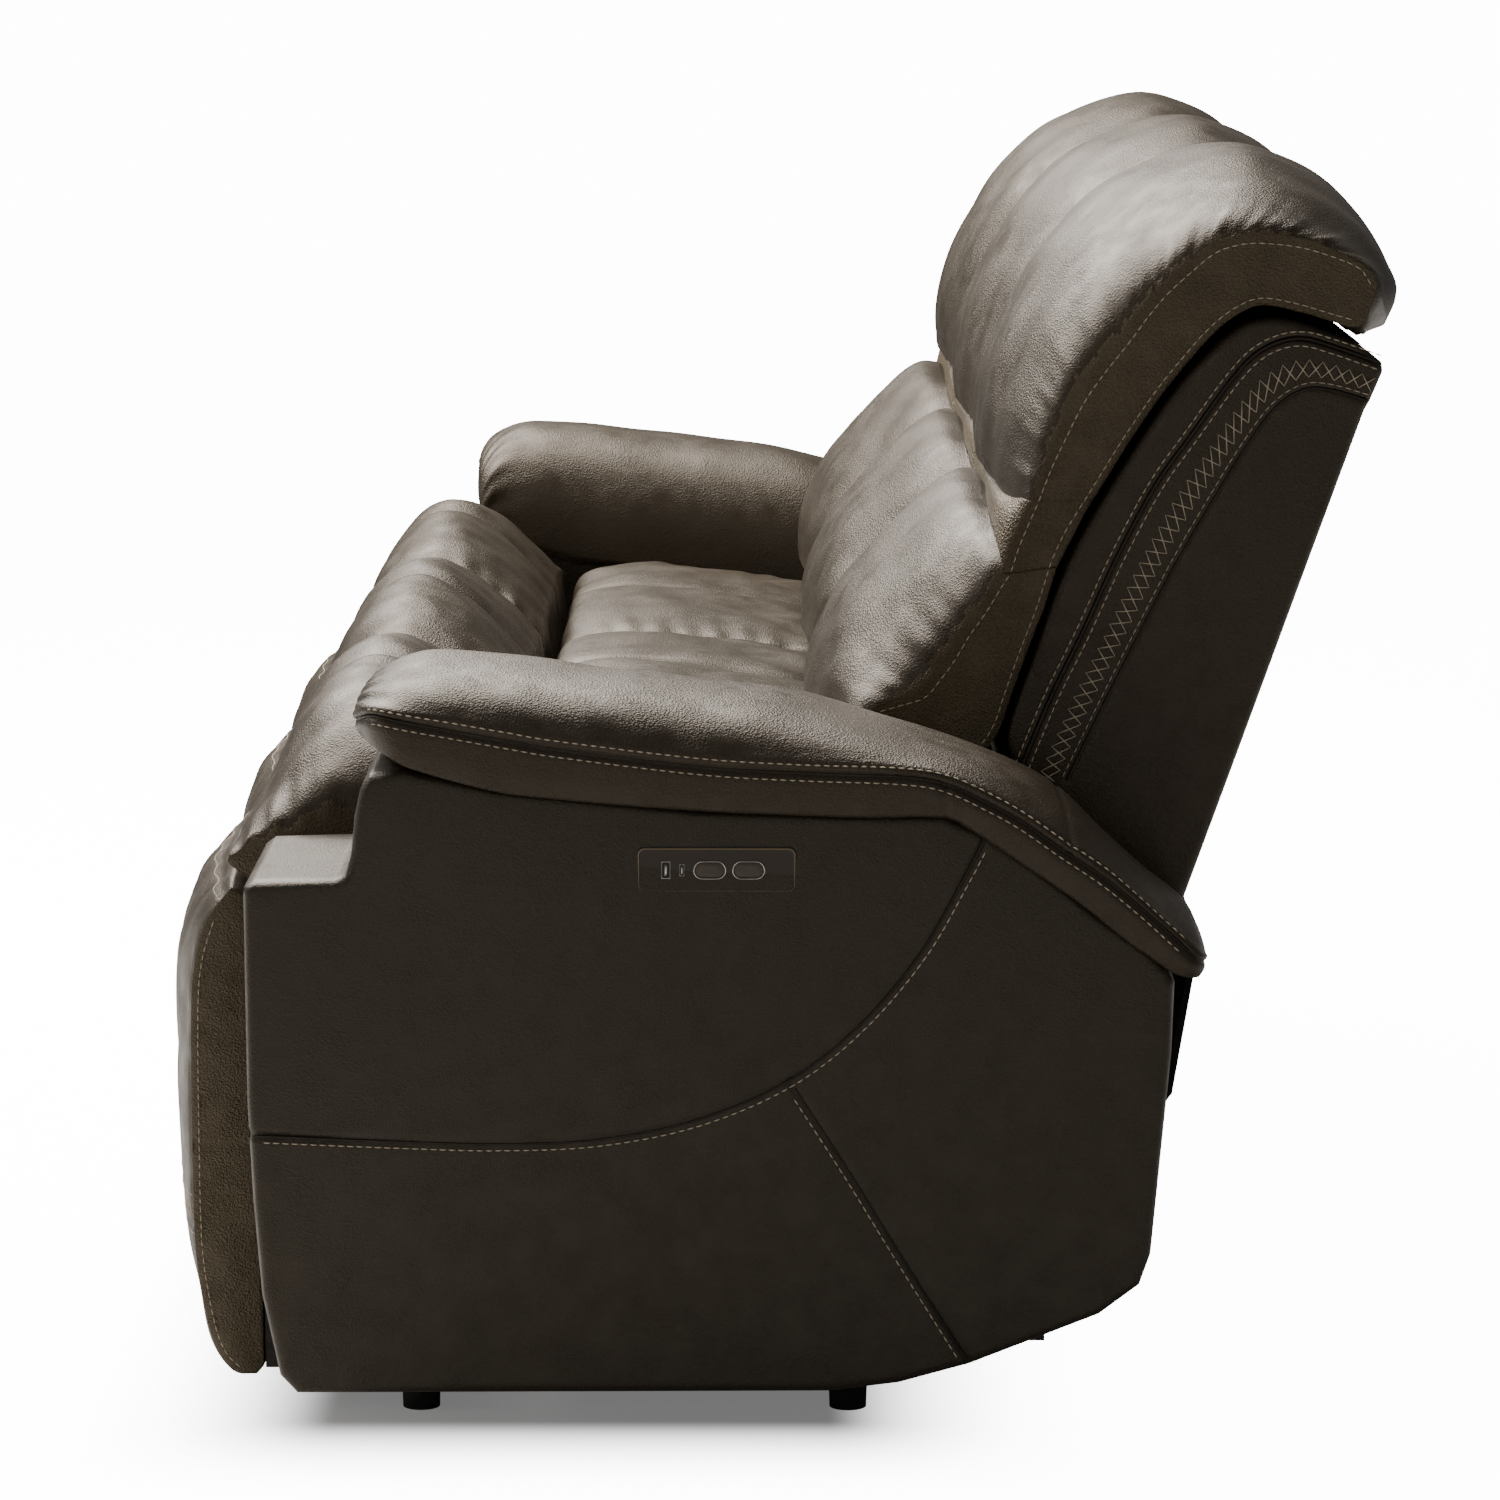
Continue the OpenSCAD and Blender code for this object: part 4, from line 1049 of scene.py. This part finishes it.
# ---- Head cushions ----
# The upper half of each back: a fuller pillow on a bracket that tilts forward. Its gusset goes
# on up from the lumbar one and narrows round the top.
head_bodies = {"left": "headrest_left", "centre": "root", "right": "headrest_right"}
HEAD_FRONT = [(206, 775), (213, 791), (224, 820), (237, 848), (251, 876), (268, 901), (290, 929),
              (306, 951), (323, 971), (345, 991), (361, 1004), (378, 1011), (400, 1014),
              (434, 1011), (461, 1004), (490, 992), (502, 976)]
HEAD_REAR = [(258, 780), (274, 806), (296, 842), (321, 879), (343, 907), (368, 935), (390, 951),
             (407, 956), (435, 951), (462, 943), (480, 938), (492, 942)]
head_shape = cushion_shape(
    front=[(198, 788), (178, 800), (177, 845), (188, 896), (216, 957), (252, 1006), (295, 1044),
           (350, 1069), (394, 1078), (428, 1073), (478, 1049), (516, 1011), (538, 967),
           (538, 946), (526, 922)],
    rear=[(246, 790), (268, 812), (314, 884), (346, 926), (376, 952), (407, 960), (435, 955),
          (470, 942), (502, 916)],
    side_front=HEAD_FRONT, side_rear=HEAD_REAR,
    half=SEAT_HALF, power=(2.1, 0.55), seed=51, pucker=1.0, pull=2.0)
back_cushions("head", head_shape, head_bodies, HEAD_FRONT[1:], HEAD_REAR[:-1])

# ---- Valley strips ----
# Between lumbar and head cushion the covers are sewn to a narrow gathered strip of the same
# leather, which folds when the headrest tilts on the real sofa. Here the strips stay fixed.
strip_shape = cushion_shape(
    front=[(181, 770), (186, 786), (198, 794)], rear=[(234, 744), (250, 768), (256, 792)],
    side_front=[(191, 728), (198, 752), (213, 790)],
    side_rear=[(235, 734), (248, 760), (264, 792)],
    half=SEAT_HALF, power=(8.0, 0.5), rows=30, seed=61, pucker=0.4, ripple=0.3, pull=1.6)
for side, place, _ in SEATS:
    grid, normal, seams, count = strip_shape
    offset = np.array([place, 0, 0])
    parts = [grid] + [gusset(seams, count, SEAT_HALF, pull=1.6, bulge=0.0, sign=s, ripple=0)
                      for s in (-1, 1)]
    # The whole strip is in the lighter gusset copy of the leather, painted light.
    strip = make_piece("valley_strip_" + side, [g + offset for g in parts], lit_gusset_leather, "root")
    rows = seam_rows([(190, 731), (197, 753), (206, 775), (213, 791)], SEAT_HALF, place, turn=-1,
                     bulge=0.3, pull=1.6)
    rows += seam_rows([(236, 738), (246, 760), (258, 780), (266, 793)], SEAT_HALF, place, turn=1,
                      bulge=0.3, pull=1.6)
    stitches = thread_piece("valley_topstitch_" + side, rows, "root")
    if side != "centre":
        for piece in (strip, stitches):
            piece.parent = None
            del piece["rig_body"]
            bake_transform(piece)

# ---- Back shells ----
# A steel pan behind each back, wrapped in leather over thin foam. The wrap is welted along the
# side, with a 40 mm cross-stitched band behind the welt and a turned lip at the top.
SHELL_HALF = 286.0
shell_front = [(212, 550), (194, 588), (217, 662), (244, 738), (279, 802), (326, 875),
               (360, 915), (387, 938), (409, 945), (433, 943), (460, 934), (488, 923)]
shell_rear = [(318, 447), (345, 447), (392, 580), (445, 731), (493, 867), (498, 876),
              (508, 900), (507, 908), (488, 923)]
line_a = curve([(200, 548), (229, 620), (257, 679), (286, 744), (318, 805), (348, 848),
                (377, 889), (398, 913), (419, 925), (441, 928), (467, 921), (505, 908)], 260)
line_b = curve([(245, 552), (277, 620), (307, 681), (336, 738), (369, 796), (395, 839),
                (418, 870), (441, 885), (463, 885), (495, 876)], 260)
shell_edges = [corner_line([(318, 447), (265, 497), (212, 550)], 120)[::-1],
               corner_line([(488, 923), (490, 922), (492, 921)], 120),
               curve(shell_front, 240), corner_line(shell_rear, 240)]
far, near, band = boxed(shell_edges, -SHELL_HALF, SHELL_HALF, 8,
                        [(line_a, 2.6, 2.6), (line_b, 1.4, 2.6)], 2)
for side, place, _ in SEATS:
    offset = np.array([place, 0, 0])
    shell = make_piece("shell_wrap_" + side, [g + offset for g in (far, near, band)], leather,
                       back_bodies[side], merge=4e-5)
    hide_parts("back_shell_" + side)
    rows, seam_shadows = [], []
    for sign in (-1, 1):
        x = place + sign * (SHELL_HALF + 1.6)
        facing = np.zeros((len(line_a), 3))
        facing[:, 0] = sign
        rows.append(topstitch(at_x(x, beside(line_a, 6)), facing))
        rows.append(topstitch(at_x(x, beside(line_a, -6)), facing))
        rows.append(topstitch(at_x(x, beside(line_b, 5)), facing, radius=0.5))
        rows.append(cross_stitch(at_x(x, line_a * 0.60 + line_b * 0.40),
                                 at_x(x, line_a * 0.24 + line_b * 0.76), facing))
        # Dark tubes along both welt lines: painted shade in their grooves.
        seam_shadows.append((at_x(x, line_a) - facing * 2.2, facing))
        seam_shadows.append((at_x(x, line_b) - facing * 1.4, facing))
    thread_piece("shell_stitching_" + side, rows, back_bodies[side])
    seam_shadow_line("shell_welt_shadow_" + side, seam_shadows, back_bodies[side], 1.4)

# ---- Chaise flaps ----
# A leather-covered board that fills the gap between seat and footrest when the legs are up.
for node in ("chaise_flap_left", "chaise_flap_right"):
    finish_node(node, leather)
